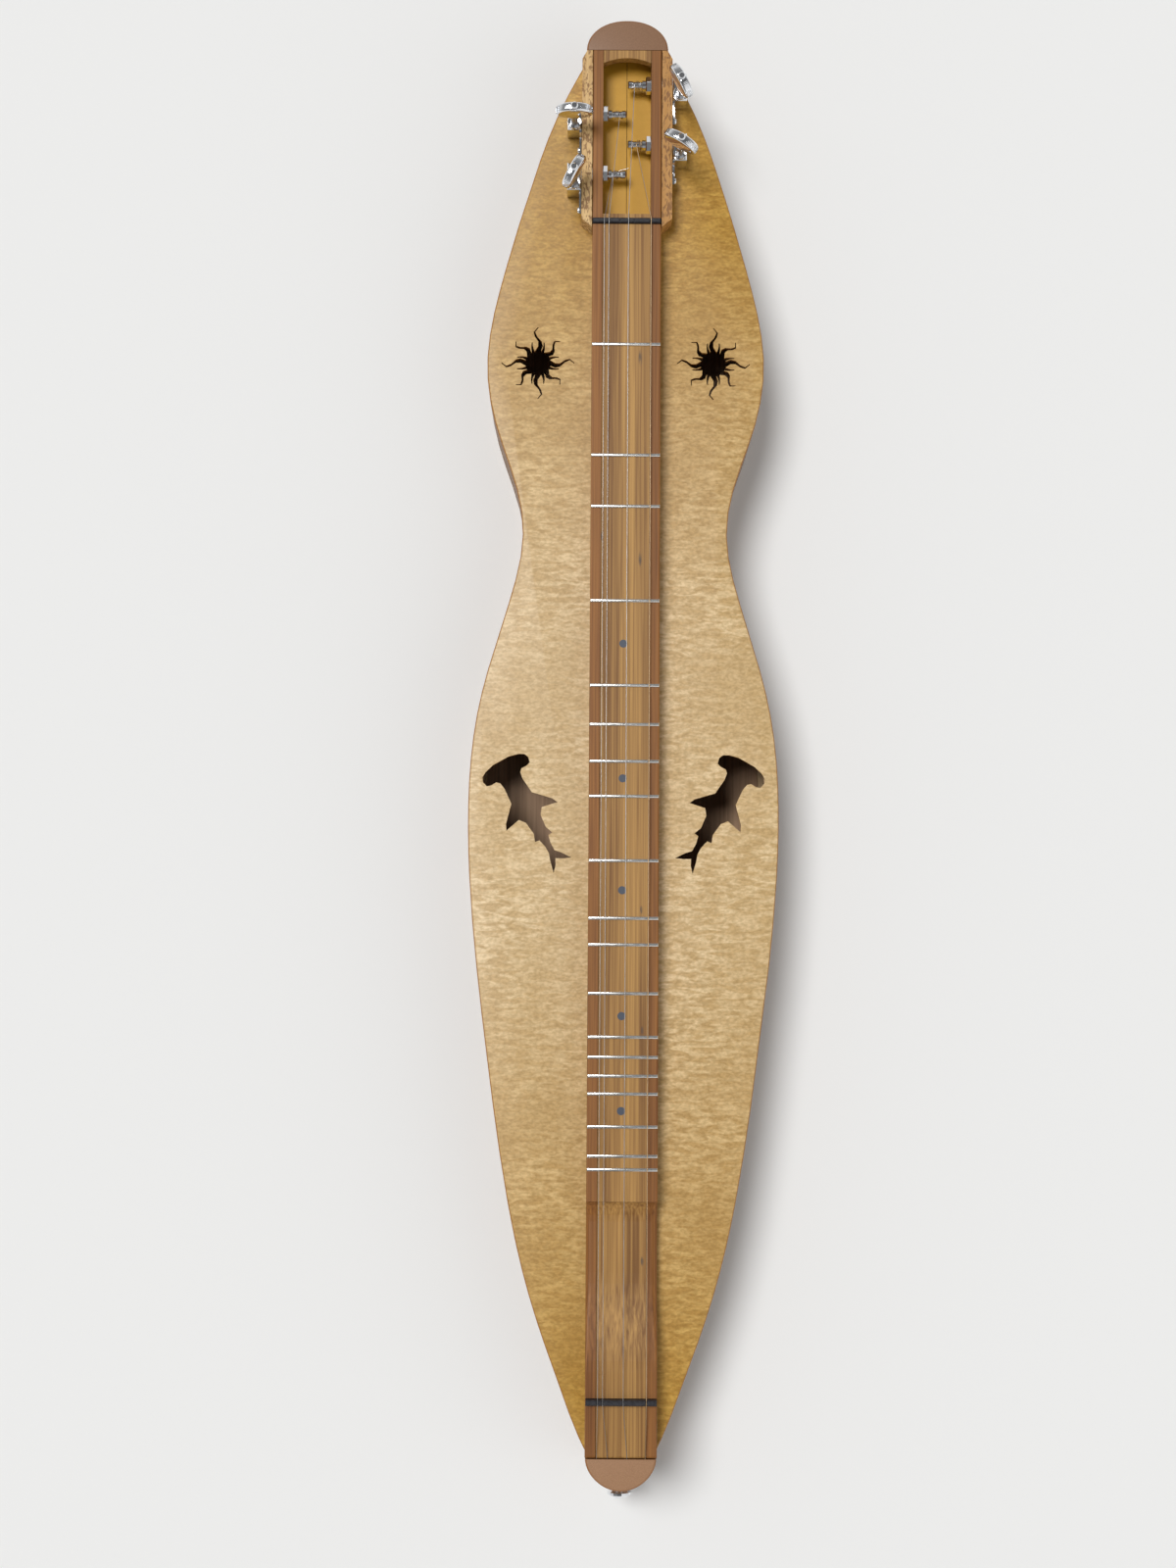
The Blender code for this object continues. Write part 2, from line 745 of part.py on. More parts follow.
def hollow_depth(station):
    # A steep round entry at the fretted end and a long soft ramp towards the bridge.
    start, end = hollow_ends()
    if station <= start or station >= end:
        return 0.0
    if station < start + HOLLOW_ENTRY:
        share = (station - start) / HOLLOW_ENTRY
        return HOLLOW_DEPTH * math.sqrt(1 - (1 - share) ** 2)
    if station > end - HOLLOW_RAMP:
        share = (station - (end - HOLLOW_RAMP)) / HOLLOW_RAMP
        return HOLLOW_DEPTH * (0.5 + 0.5 * math.cos(math.pi * share))
    return HOLLOW_DEPTH


def hollow_stations():
    start, end = hollow_ends()
    entry = [start + HOLLOW_ENTRY * (1 - math.cos(math.pi / 2 * i / 5)) for i in range(6)]
    ramp = [end - HOLLOW_RAMP + HOLLOW_RAMP * i / 9 for i in range(10)]
    return entry + ramp


def end_round():
    # The rounded upper corner at the tail end of the fretboard, as (station, level).
    centre = (NECK_END - END_EDGE_RADIUS, NECK_TOP - END_EDGE_RADIUS)
    arc = []
    for i in range(4):
        turn = math.radians(90 - 30 * i)
        across = centre[0] + END_EDGE_RADIUS * math.cos(turn)
        up = centre[1] + END_EDGE_RADIUS * math.sin(turn)
        arc.append((across, up))
    return arc


def core_profile():
    pocket_station = NECK_END - END_POCKET_DEPTH
    pocket_level = NECK_TOP - END_POCKET_TOP
    profile = [(-CORE_AHEAD_OF_NUT, NECK_BOTTOM), (-CORE_AHEAD_OF_NUT, NECK_TOP)]
    profile += [(s, NECK_TOP - hollow_depth(s)) for s in hollow_stations()]
    profile += end_round()
    profile += [(NECK_END, pocket_level), (pocket_station, pocket_level)]
    profile += [(pocket_station, NECK_BOTTOM)]
    return profile


def strip_section(station, level):
    # One cross-section of a side strip: flat inside and below, round at the outer top.
    depth = hollow_depth(station)
    share = depth / HOLLOW_DEPTH
    radius = STRIP_EDGE_RADIUS + (HOLLOW_EDGE_RADIUS - STRIP_EDGE_RADIUS) * share
    top = level - depth
    inner = SLOT_HALF + SEAT_GAP / 2
    section = [(inner, NECK_BOTTOM), (NECK_HALF, NECK_BOTTOM)]
    for turn in (0, 30, 60, 90):
        angle = math.radians(turn)
        out = NECK_HALF - radius + radius * math.cos(angle)
        up = top - radius + radius * math.sin(angle)
        section.append((out, up))
    section.append((inner, top))
    return section


def strip_stations():
    # (station, level of the top face) from the head cap to the rounded tail end.
    run = [(-PEG_BOX_LENGTH + SEAT_GAP, NECK_TOP), (0.0, NECK_TOP)]
    run += [(s, NECK_TOP) for s in hollow_stations()]
    return run + end_round()[:-1] + [(NECK_END, NECK_TOP - END_EDGE_RADIUS)]


def build_strip(name, side, material):
    # A loft, because the rounding of its edge swells along the hollow.
    shape = bmesh.new()
    rings = []
    for station, level in strip_stations():
        section = strip_section(station, level)
        rings.append([shape.verts.new((side * x, y_at(station), z)) for x, z in section])
    for ring, following in zip(rings, rings[1:]):
        for i in range(len(ring)):
            j = (i + 1) % len(ring)
            shape.faces.new((ring[i], ring[j], following[j], following[i]))
    shape.faces.new(rings[0])
    shape.faces.new(rings[-1])
    bmesh.ops.recalc_face_normals(shape, faces=shape.faces)
    mesh = bpy.data.meshes.new(name)
    shape.to_mesh(mesh)
    shape.free()
    return new_object(name, mesh, material)


def cross_slot(station, thickness, depth):
    # A slot across the whole fretboard, open at its top.
    half = thickness / 2 + SEAT_GAP
    overrun = CHEEK_THICKNESS / 2
    low = (-NECK_HALF - overrun, y_at(station) - half, NECK_TOP - depth - SEAT_GAP)
    high = (NECK_HALF + overrun, y_at(station) + half, NECK_TOP + FRETBOARD_RISE)
    return low, high


def fretboard_slots():
    slots = [cross_slot(0.0, NUT_THICKNESS, NUT_SEAT)]
    slots.append(cross_slot(BRIDGE_STATION, BRIDGE_THICKNESS, BRIDGE_SEAT))
    return new_object("fretboard_slots", box_mesh("fretboard_slots", slots), cutter=True)


def tail_pin_places():
    # Where each string is hooked: beside the place where it comes over the fretboard's end.
    level = NECK_TOP - TAIL_PIN_DROP
    places = []
    for diameter, _, _, at_pin in STRINGS.values():
        places.append((pin_centre(at_pin, diameter), level))
    return places


def pin_centre(at_pin, diameter):
    # A pin stands beside its string, on the side of the middle of the fretboard.
    return at_pin - math.copysign(hook_radius(diameter), at_pin)


def hook_radius(diameter):
    return TAIL_PIN_RADIUS + SEAT_GAP + diameter / 2


def build_fretboard():
    slots = fretboard_slots()
    core = as_mesh(
        side_plate("fretboard_core", core_profile(), CORE_WIDTH - SEAT_GAP, golden_hardwood)
    )
    edge = SLOT_HALF - FRET_END_INSET
    boolean(core, fret_ridges("core_frets", -edge, edge), "UNION")
    cut(core, slots)
    pin_far = NECK_END - TAIL_PIN_SHORT_OF_END
    for (x, level), string in zip(tail_pin_places(), STRINGS):
        build_tail_pin(string.replace("string", "hitch_pin"), core, x, level, pin_far)
    for side, word in ((-1, "left"), (1, "right")):
        strip = build_strip("fretboard_strip_" + word, side, red_hardwood)
        near = side * (SLOT_HALF + FRET_END_INSET + SEAT_GAP / 2)
        far = side * (NECK_HALF - FRET_END_INSET)
        boolean(strip, fret_ridges("frets_" + word, *sorted((near, far))), "UNION")
        cut(strip, slots, bushing_bores[side])


def build_tail_pin(name, core, x, level, far):
    # A small nail that a string's loop hangs on, driven into the end of the core.
    length = TAIL_PIN_LENGTH
    place = (x, y_at(far), level)
    turn = (math.radians(90), 0.0, 0.0)
    profile = [
        (0.0, 0.0),
        (TAIL_PIN_HEAD_RADIUS, 0.0),
        (TAIL_PIN_HEAD_RADIUS, -TAIL_PIN_HEAD),
        (TAIL_PIN_RADIUS, -TAIL_PIN_HEAD),
        (TAIL_PIN_RADIUS, -length),
        (0.0, -length),
    ]
    turned(name, profile, 10, place, turn, steel)
    reach = length + SEAT_GAP
    cut(core, rod(name + "_bore", TAIL_PIN_RADIUS + SEAT_GAP, -reach, 0.0, place, turn, cutter=True))


def saddle(name, station, thickness, seat, rise, string_level, place_index):
    # The nut or the bridge: a bar in its slot, with a notch for each string.
    half = NECK_HALF - SEAT_GAP
    low = (-half, y_at(station) - thickness / 2, NECK_TOP - seat)
    high = (half, y_at(station) + thickness / 2, NECK_TOP + rise)
    bar = box(name, low, high, black_bone)
    round_upper_rim(bar, SADDLE_EDGE, 1)
    notches = []
    for string in STRINGS.values():
        wide = string[0] / 2 + NOTCH_SIDE_GAP
        bottom = NECK_TOP + string_level - string[0] / 2 - SEAT_GAP
        notches.append((string[place_index], wide, bottom))
    if place_index == 1:
        bottom = NECK_TOP + rise - SPARE_NOTCH_DEPTH
        notches += [(x, SPARE_NOTCH_WIDTH / 2, bottom) for x in SPARE_NOTCHES]
    boxes = []
    for x, wide, bottom in notches:
        near = (x - wide, low[1] - SEAT_GAP, bottom)
        far = (x + wide, high[1] + SEAT_GAP, high[2] + rise)
        boxes.append((near, far))
    tool = new_object(name + "_notches", box_mesh(name + "_notches", boxes), cutter=True)
    cut(bar, tool)


def fret_ridges(name, low, high):
    # The crowns of all frets over one board, each set a little into its surface.
    half = FRET_WIDTH / 2
    profile = [(half, -FRET_SEAT)]
    for i in range(6):
        turn = math.pi * i / 5
        profile.append((half * math.cos(turn), FRET_CROWN * math.sin(turn)))
    profile.append((-half, -FRET_SEAT))
    shape = bmesh.new()
    for semitones in FRET_SEMITONES:
        y = y_at(fret_station(semitones))
        ends = []
        for x in (low, high):
            ends.append([shape.verts.new((x, y + along, NECK_TOP + up)) for along, up in profile])
            shape.faces.new(ends[-1])
        for i in range(len(profile)):
            j = (i + 1) % len(profile)
            shape.faces.new((ends[0][i], ends[0][j], ends[1][j], ends[1][i]))
    bmesh.ops.recalc_face_normals(shape, faces=shape.faces)
    mesh = bpy.data.meshes.new(name)
    shape.to_mesh(mesh)
    shape.free()
    return new_object(name, mesh, cutter=True)


# Head and tail


def build_cheeks():
    inner = NECK_HALF + SEAT_GAP
    head = -PEG_BOX_LENGTH + SEAT_GAP
    corner = station_where_half_is(CHEEK_OUTER, HEAD_END, 0.0)
    outline = [(inner, head), side_point(head)]
    if corner > head:
        outline.append((CHEEK_OUTER, corner))
    outline.append((CHEEK_OUTER, CHEEK_PAST_NUT - CHEEK_CHAMFER))
    outline.append((inner, CHEEK_PAST_NUT))
    for side, word in ((-1, "left"), (1, "right")):
        name = "head_cheek_" + word
        cheek = plate(name, mirrored(outline, side), NECK_BOTTOM, NECK_TOP, burr_wood)
        cut(as_mesh(cheek), bushing_bores[side])


def build_arch():
    # The golden piece that closes the slot at the head, with a low arch towards the strings.
    half = SLOT_HALF - SEAT_GAP / 2
    head = -PEG_BOX_LENGTH + SEAT_GAP
    crown = -PEG_BOX_LENGTH + ARCH_REACH
    spans = 8
    outline = [(-half, head)]
    for i in range(spans + 1):
        share = 2 * i / spans - 1
        outline.append((half * share, crown + ARCH_RISE * share * share))
    outline.append((half, head))
    plate("peg_slot_end_block", outline, NECK_TOP - ARCH_THICKNESS, NECK_TOP, golden_hardwood)


def build_caps():
    head = nose_points(HEAD_END, 1, -PEG_BOX_LENGTH)
    outline = head + [(-x, station) for x, station in reversed(head)]
    cap = as_mesh(plate("head_cap", outline, NECK_BOTTOM, NECK_TOP, end_grain))
    round_upper_rim(cap, CAP_EDGE_RADIUS)
    tail = nose_points(TAIL_END, -1, TAIL_CAP_START)
    outline = tail + [(-x, station) for x, station in reversed(tail)]
    top = NECK_TOP - TAIL_CAP_DROP
    cap = as_mesh(plate("tail_cap", outline, NECK_BOTTOM, top, end_grain))
    round_upper_rim(cap, CAP_EDGE_RADIUS)


def build_strap_pin():
    length = STRAP_PIN_LENGTH
    profile = [
        (0.0, length),
        (0.62 * STRAP_PIN_RADIUS, length - 0.0005),
        (STRAP_PIN_RADIUS, length - 0.0022),
        (STRAP_PIN_RADIUS, length - 0.0036),
        (STRAP_PIN_WAIST, length - 0.0058),
        (STRAP_PIN_WAIST, 0.0040),
        (0.8 * STRAP_PIN_RADIUS, 0.0),
        (STRAP_PIN_SHANK, 0.0),
        (STRAP_PIN_SHANK, -STRAP_PIN_SHANK_LENGTH),
        (0.0, -STRAP_PIN_SHANK_LENGTH),
    ]
    place = (0.0, y_at(TAIL_END + SEAT_GAP), (RIB_BOTTOM + RIB_TOP) / 2)
    turned("end_pin", profile, 18, place, (math.radians(90), 0.0, 0.0), chrome)


# Tuners


def post_station(row):
    return -FIRST_POST - POST_SPACING * row


def across(side):
    # Turns a piece's own +Z outwards, square to the strings.
    return (0.0, side * math.radians(90), 0.0)


def build_bushing_bores():
    # The holes through the strip and cheek on each side, one for each tuner.
    bores = {}
    for side in (-1, 1):
        shape = bmesh.new()
        for _, row, tuner_side, *_ in TUNERS:
            if tuner_side != side:
                continue
            made = bmesh.ops.create_cone(
                shape,
                cap_ends=True,
                segments=16,
                radius1=BUSHING_RADIUS + SEAT_GAP,
                radius2=BUSHING_RADIUS + SEAT_GAP,
                depth=2 * (CHEEK_OUTER - SLOT_HALF),
            )
            turn = Vector((0.0, 0.0, 1.0)).rotation_difference(Vector((1.0, 0.0, 0.0)))
            bmesh.ops.rotate(shape, matrix=turn.to_matrix(), verts=made["verts"])
            middle = side * (SLOT_HALF + CHEEK_OUTER) / 2
            place = (middle, y_at(post_station(row)), POST_LEVEL)
            bmesh.ops.translate(shape, vec=place, verts=made["verts"])
        mesh = bpy.data.meshes.new("bushing_bores")
        shape.to_mesh(mesh)
        shape.free()
        bores[side] = new_object(f"bushing_bores_{side}", mesh, cutter=True)
    return bores


def ferrule_parts(name, side, station):
    # The six-sided nut at the slot's wall and the sleeve that it is screwed to.
    place = (0.0, y_at(station), POST_LEVEL)
    wall = SLOT_HALF - SEAT_GAP
    radius = FERRULE_ACROSS_FLATS / 2 / math.cos(math.radians(30))
    profile = [
        (0.0, wall),
        (radius, wall),
        (radius, wall - 0.8 * FERRULE_HEIGHT),
        (0.86 * radius, wall - FERRULE_HEIGHT),
        (0.0, wall - FERRULE_HEIGHT),
    ]
    nut = turned(name + "_ferrule", profile, 6, place, across(side), cutter=True)
    low = wall - FERRULE_HEIGHT / 2
    high = HOUSING_INNER + HOUSING_EDGE
    sleeve = rod(name + "_sleeve", BUSHING_RADIUS, low, high, place, across(side), cutter=True)
    return nut, sleeve


def build_housing(name, side, station):
    # A closed gear case with a mounting tab, hollow for the gear and the worm.
    head = y_at(station - HOUSING_AHEAD)
    tail = y_at(station + WORM_OFFSET + HOUSING_PAST_WORM)
    inner, outer = sorted((side * HOUSING_INNER, side * HOUSING_OUTER))
    case = box(name, (inner, tail, HOUSING_BOTTOM), (outer, head, HOUSING_TOP), chrome)
    round_upper_rim(case, HOUSING_EDGE, 1)
    tab_x = sorted((side * HOUSING_INNER, side * (HOUSING_INNER + TAB_THICKNESS)))
    low = (tab_x[0], y_at(station + TAB_REACH), POST_LEVEL - TAB_WIDTH / 2)
    high = (tab_x[1], tail + HOUSING_EDGE * 2, POST_LEVEL + TAB_WIDTH / 2)
    tab = box(name + "_tab", low, high, cutter=True)
    worm_place = (side * WORM_OUT, y_at(station + WORM_OFFSET), 0.0)
    room_x = sorted(side * (WORM_OUT + way * (WORM_RADIUS + CHAMBER_GAP)) for way in (-1, 1))
    room_tail = y_at(station + WORM_OFFSET + WORM_RADIUS + CHAMBER_GAP)
    room_head = y_at(station - GEAR_RADIUS - CHAMBER_GAP)
    room = box(
        name + "_room",
        (room_x[0], room_tail, worm_bottom() - CHAMBER_GAP),
        (room_x[1], room_head, worm_top() + CHAMBER_GAP),
        cutter=True,
    )
    shaft_bore = rod(
        name + "_shaft_bore",
        WORM_SHAFT + SEAT_GAP,
        worm_top() - CHAMBER_GAP,
        HOUSING_TOP + BUTTON_GAP_ABOVE_HOUSING / 2,
        worm_place,
        cutter=True,
    )
    post_place = (0.0, y_at(station), POST_LEVEL)
    post_bore = rod(
        name + "_post_bore",
        POST_RADIUS + SEAT_GAP,
        SLOT_HALF - 2 * FERRULE_HEIGHT,
        WORM_OUT,
        post_place,
        across(side),
        cutter=True,
        sides=14,
    )
    for solid in (tab, *ferrule_parts(name, side, station)):
        boolean(case, solid, "UNION")
    cut(case, post_bore, shaft_bore, room)


def worm_bottom():
    return POST_LEVEL - GEAR_RADIUS - GEAR_TOOTH_DEPTH


def worm_top():
    return POST_LEVEL + GEAR_RADIUS


def build_shaft(name, side, station, parent):
    # The worm, its neck above the collar and the spigot that carries the button.
    top = BUTTON_BOTTOM + SPIGOT_LENGTH
    shoulder = BUTTON_BOTTOM - SEAT_GAP
    profile = [(0.0, top), (SPIGOT_RADIUS, top), (SPIGOT_RADIUS, shoulder)]
    profile += [(NECK_RADIUS, shoulder)]
    neck_low = HOUSING_TOP + SEAT_GAP
    profile += [(NECK_RADIUS, neck_low), (WORM_SHAFT, neck_low), (WORM_SHAFT, worm_top())]
    pitch = (worm_top() - worm_bottom()) / WORM_THREADS
    for i in range(WORM_THREADS):
        crest = worm_top() - pitch * (i + 0.5)
        profile += [(WORM_RADIUS, crest + 0.15 * pitch), (WORM_RADIUS, crest - 0.15 * pitch)]
        if i < WORM_THREADS - 1:
            profile += [(WORM_ROOT, crest - 0.5 * pitch)]
    profile += [(WORM_ROOT, worm_bottom()), (0.0, worm_bottom())]
    profile = [(radius, height - parent.location.z) for radius, height in profile]
    shaft = turned(name, profile, 12, (0.0, 0.0, 0.0), (0.0, 0.0, 0.0), steel)
    shaft.parent = parent


def button_outline(spans=22):
    # A rounded oblong, wider than it is tall.
    points = []
    for i in range(spans):
        turn = 2 * math.pi * i / spans
        x = math.copysign(abs(math.cos(turn)) ** 0.8, math.cos(turn)) * BUTTON_WIDTH / 2
        z = math.copysign(abs(math.sin(turn)) ** 0.8, math.sin(turn)) * BUTTON_HEIGHT / 2
        points.append((x, z))
    return points


def build_button(name, parent, turn):
    # An oval knob on edge, thinner towards its two ends, bored for the spigot and its screw.
    flat = curve_plate(name, button_outline(), BUTTON_THICKNESS, chrome)
    flat.rotation_euler = (math.radians(90), 0.0, 0.0)
    knob = as_mesh(flat)
    shape = bmesh.new()
    shape.from_mesh(knob.data)
    for vertex in shape.verts:
        share = vertex.co.x / (BUTTON_WIDTH / 2)
        vertex.co.y *= 1 - BUTTON_END_TAPER * share * share
        vertex.co.z += BUTTON_BOTTOM + BUTTON_HEIGHT / 2 - parent.location.z
    shape.to_mesh(knob.data)
    shape.free()
    knob.parent = parent
    knob.rotation_euler = (0.0, 0.0, math.radians(turn))
    edge = knob.modifiers.new("Edge", "BEVEL")
    edge.width = BUTTON_EDGE
    edge.segments = 2
    edge.limit_method = "ANGLE"
    edge.angle_limit = math.radians(50)
    bore = rod(
        name + "_bore",
        SPIGOT_RADIUS + SEAT_GAP,
        BUTTON_BOTTOM - BUTTON_HEIGHT / 2,
        BUTTON_TOP + BUTTON_HEIGHT / 2,
        (parent.location.x, parent.location.y, 0.0),
        cutter=True,
        sides=12,
    )
    cut(knob, bore)


def build_button_screw(name, parent):
    seat = BUTTON_TOP + SEAT_GAP
    foot = BUTTON_BOTTOM + SPIGOT_LENGTH + SEAT_GAP
    profile = [
        (0.0, seat + BUTTON_SCREW_HEAD_HEIGHT),
        (0.7 * BUTTON_SCREW_HEAD, seat + BUTTON_SCREW_HEAD_HEIGHT),
        (BUTTON_SCREW_HEAD, seat + 0.3 * BUTTON_SCREW_HEAD_HEIGHT),
        (BUTTON_SCREW_HEAD, seat),
        (BUTTON_SCREW_SHANK, seat),
        (BUTTON_SCREW_SHANK, foot),
        (0.0, foot),
    ]
    profile = [(radius, height - parent.location.z) for radius, height in profile]
    screw = turned(name, profile, 12, (0.0, 0.0, 0.0), (0.0, 0.0, 0.0), chrome)
    screw.parent = parent


def gear_outline():
    points = []
    for i in range(GEAR_TEETH):
        for share, radius in (
            (0.00, GEAR_RADIUS),
            (0.30, GEAR_RADIUS),
            (0.50, GEAR_RADIUS - GEAR_TOOTH_DEPTH),
            (0.80, GEAR_RADIUS - GEAR_TOOTH_DEPTH),
        ):
            turn = 2 * math.pi * (i + share) / GEAR_TEETH
            points.append((radius * math.cos(turn), radius * math.sin(turn)))
    return points


def build_post(name, side, station):
    # The string post with its gear, turned about the line across the slot.
    tip = POST_TIP_FROM_CENTRE
    outer = WORM_OUT + GEAR_THICKNESS / 2 + POST_STUB_LENGTH
    profile = [
        (0.0, outer),
        (POST_STUB, outer),
        (POST_STUB, WORM_OUT),
        (POST_RADIUS, WORM_OUT),
        (POST_RADIUS, POST_WAIST_END + 0.0004),
        (POST_WAIST, POST_WAIST_END),
        (POST_WAIST, POST_WAIST_START),
        (POST_FLARE, tip + POST_FLARE_LENGTH),
        (POST_FLARE, tip + 0.0006),
        (0.8 * POST_FLARE, tip),
        (0.0, tip),
    ]
    place = (0.0, y_at(station), POST_LEVEL)
    post = turned(name, profile, 14, place, across(side), chrome)
    gear = curve_plate(name + "_gear", gear_outline(), GEAR_THICKNESS, chrome, cutter=True)
    gear.location = (side * WORM_OUT, y_at(station), POST_LEVEL)
    gear.rotation_euler = across(side)
    boolean(post, as_mesh(gear), "UNION")


# Strings


def lead_off(side, station, diameter, waist_offset, to_tip):
    # Where a string leaves its post: across the slot, the radius and the angle about the post.
    out = POST_WAIST_END - waist_offset if to_tip else POST_WAIST_START + waist_offset
    radius = POST_WAIST + SEAT_GAP + diameter / 2
    along = -station
    up = NECK_TOP + STRING_AT_NUT - POST_LEVEL
    distance = math.hypot(along, up)
    turn = math.atan2(up, along) + math.acos(radius / distance)
    return side * out, radius, turn


def around_post(station, radius, turn):
    return station + radius * math.cos(turn), POST_LEVEL + radius * math.sin(turn)


def build_string(tuner):
    # From the top of its post over the nut and bridge, down behind the end, round its pin.
    name, row, side, _, _, waist_offset, to_tip, _ = tuner
    diameter, at_nut, at_bridge, at_pin = STRINGS["string_" + name]
    station = post_station(row)
    x, radius, turn = lead_off(side, station, diameter, waist_offset, to_tip)
    start, start_level = around_post(station, radius, turn)
    route = [(x, start, start_level)]
    route.append((at_nut, -NUT_THICKNESS / 2, NECK_TOP + STRING_AT_NUT))
    route.append((at_nut, NUT_THICKNESS / 2, NECK_TOP + STRING_AT_NUT))
    bridge = NECK_TOP + STRING_AT_BRIDGE
    route.append((at_bridge, BRIDGE_STATION - BRIDGE_THICKNESS / 2, bridge))
    route.append((at_bridge, BRIDGE_STATION + BRIDGE_THICKNESS / 2, bridge))
    bend = END_EDGE_RADIUS + SEAT_GAP + diameter / 2
    for degrees in (75, 50, 25, 0):
        angle = math.radians(degrees)
        along = NECK_END - END_EDGE_RADIUS + bend * math.cos(angle)
        up = NECK_TOP - END_EDGE_RADIUS + bend * math.sin(angle)
        route.append((at_pin, along, up))
    behind = NECK_END + SEAT_GAP + diameter / 2
    route.append((at_pin, behind, NECK_TOP - END_POCKET_TOP))
    hook_station = NECK_END - END_POCKET_DEPTH / 2
    pin_level = NECK_TOP - TAIL_PIN_DROP
    route.append((at_pin, hook_station, pin_level + 2 * hook_radius(diameter)))
    middle = pin_centre(at_pin, diameter)
    for degrees in (0, -40, -80, -120, -160, -200):
        angle = math.radians(degrees)
        x = middle + (at_pin - middle) * math.cos(angle)
        route.append((x, hook_station, pin_level + hook_radius(diameter) * math.sin(angle)))
    points = [(x, y_at(s), z) for x, s, z in route]
    tube("string_" + name, points, diameter, bronze if name == "bass" else steel)


def winding_points(tuner):
    # Loops round the post's waist beside the string, each a little further along the post.
    name, row, side, _, loops, waist_offset, to_tip, loose = tuner
    diameter = STRINGS["string_" + name][0]
    station = post_station(row)
    x, radius, first = lead_off(side, station, diameter, waist_offset, to_tip)
    step = (-side if to_tip else side) * (diameter + WINDING_GAP)
    x += step
    start, level = around_post(station, radius, first)
    ahead = diameter
    points = [(x, start + ahead * math.sin(first), level - ahead * math.cos(first))]
    for i in range(24 * loops + 1):
        turn = first + 2 * math.pi * i / 24
        along, up = around_post(station, radius, turn)
        points.append((x + step * i / 24, along, up))
    x, along, up = points[-1]
    turn = first + 2 * math.pi * loops
    backwards = (-math.sin(turn), math.cos(turn))
    ahead = diameter * 2
    points.append((x + step * 0.1, along + ahead * backwards[0], up + ahead * backwards[1]))
    if loose:
        x, along, up = points[-1]
        points.append((x - side * 0.0008, along - 0.0006, up + 0.0003))
        points.append((x - side * loose, along - 0.0018, up + 0.0009))
    return points


def least_gap(points, diameter):
    # The smallest clear distance between stretches that lie over half a loop apart.
    places = np.array(points)
    least = math.inf
    for i in range(len(places) - 12):
        distances = np.linalg.norm(places[i + 12 :] - places[i], axis=1)
        least = min(least, float(distances.min()) - diameter)
    return least


def build_winding(tuner):
    name = tuner[0]
    diameter = STRINGS["string_" + name][0]
    points = winding_points(tuner)
    gap = least_gap(points, diameter) * 1000
    print(f"winding_{name}: least gap to itself {gap:.2f} mm")
    placed = [(x, y_at(s), z) for x, s, z in points]
    tube("winding_" + name, placed, diameter, bronze if name == "bass" else steel)


def build_tuner(tuner):
    name, row, side, turn, *_ = tuner
    station = post_station(row)
    axis = bpy.data.objects.new("button_axis_" + name, None)
    axis.location = (side * WORM_OUT, y_at(station + WORM_OFFSET), BUTTON_BOTTOM)
    parts.objects.link(axis)
    build_housing("tuner_housing_" + name, side, station)
    build_shaft("tuner_worm_" + name, side, station, axis)
    build_button("tuner_button_" + name, axis, turn)
    build_button_screw("button_screw_" + name, axis)
    build_post("tuner_post_" + name, side, station)
    build_string(tuner)
    build_winding(tuner)


clear_scene()
parts = new_collection("mountain_dulcimer")
cutters = new_collection("cutters")
half_width = smooth_through(outline_stations())

curly_maple = new_material("curly_maple", (0.70, 0.50, 0.25), 0.35)
walnut = new_material("walnut", (0.13, 0.08, 0.05), 0.45)
lining_wood = new_material("lining_wood", (0.60, 0.45, 0.28), 0.6)
golden_hardwood = new_material("golden_hardwood", (0.43, 0.25, 0.10), 0.4)
red_hardwood = new_material("red_hardwood", (0.30, 0.14, 0.07), 0.4)
burr_wood = new_material("burr_wood", (0.50, 0.28, 0.10), 0.4)
end_grain = new_material("end_grain", (0.36, 0.20, 0.12), 0.5)
black_bone = new_material("black_bone", (0.03, 0.03, 0.035), 0.45)
dark_inlay = new_material("dark_inlay", (0.08, 0.09, 0.11), 0.4)
nickel = new_material("nickel", (0.75, 0.75, 0.74), 0.25, 1.0)
steel = new_material("steel", (0.60, 0.60, 0.62), 0.3, 1.0)
bronze = new_material("bronze", (0.45, 0.34, 0.22), 0.35, 1.0)
chrome = new_material("chrome", (0.85, 0.86, 0.88), 0.08, 1.0)

bushing_bores = build_bushing_bores()
build_boards()
build_ribs()
build_blocks()
build_linings()
build_braces()
build_fretboard()
build_cheeks()
build_arch()
build_caps()
saddle("nut", 0.0, NUT_THICKNESS, NUT_SEAT, NUT_RISE, STRING_AT_NUT, 1)
saddle(
    "bridge",
    BRIDGE_STATION,
    BRIDGE_THICKNESS,
    BRIDGE_SEAT,
    BRIDGE_RISE,
    STRING_AT_BRIDGE,
    2,
)
build_strap_pin()
for each_tuner in TUNERS:
    build_tuner(each_tuner)
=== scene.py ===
import json
import math

import bmesh
import bpy
from mathutils import Matrix, Vector


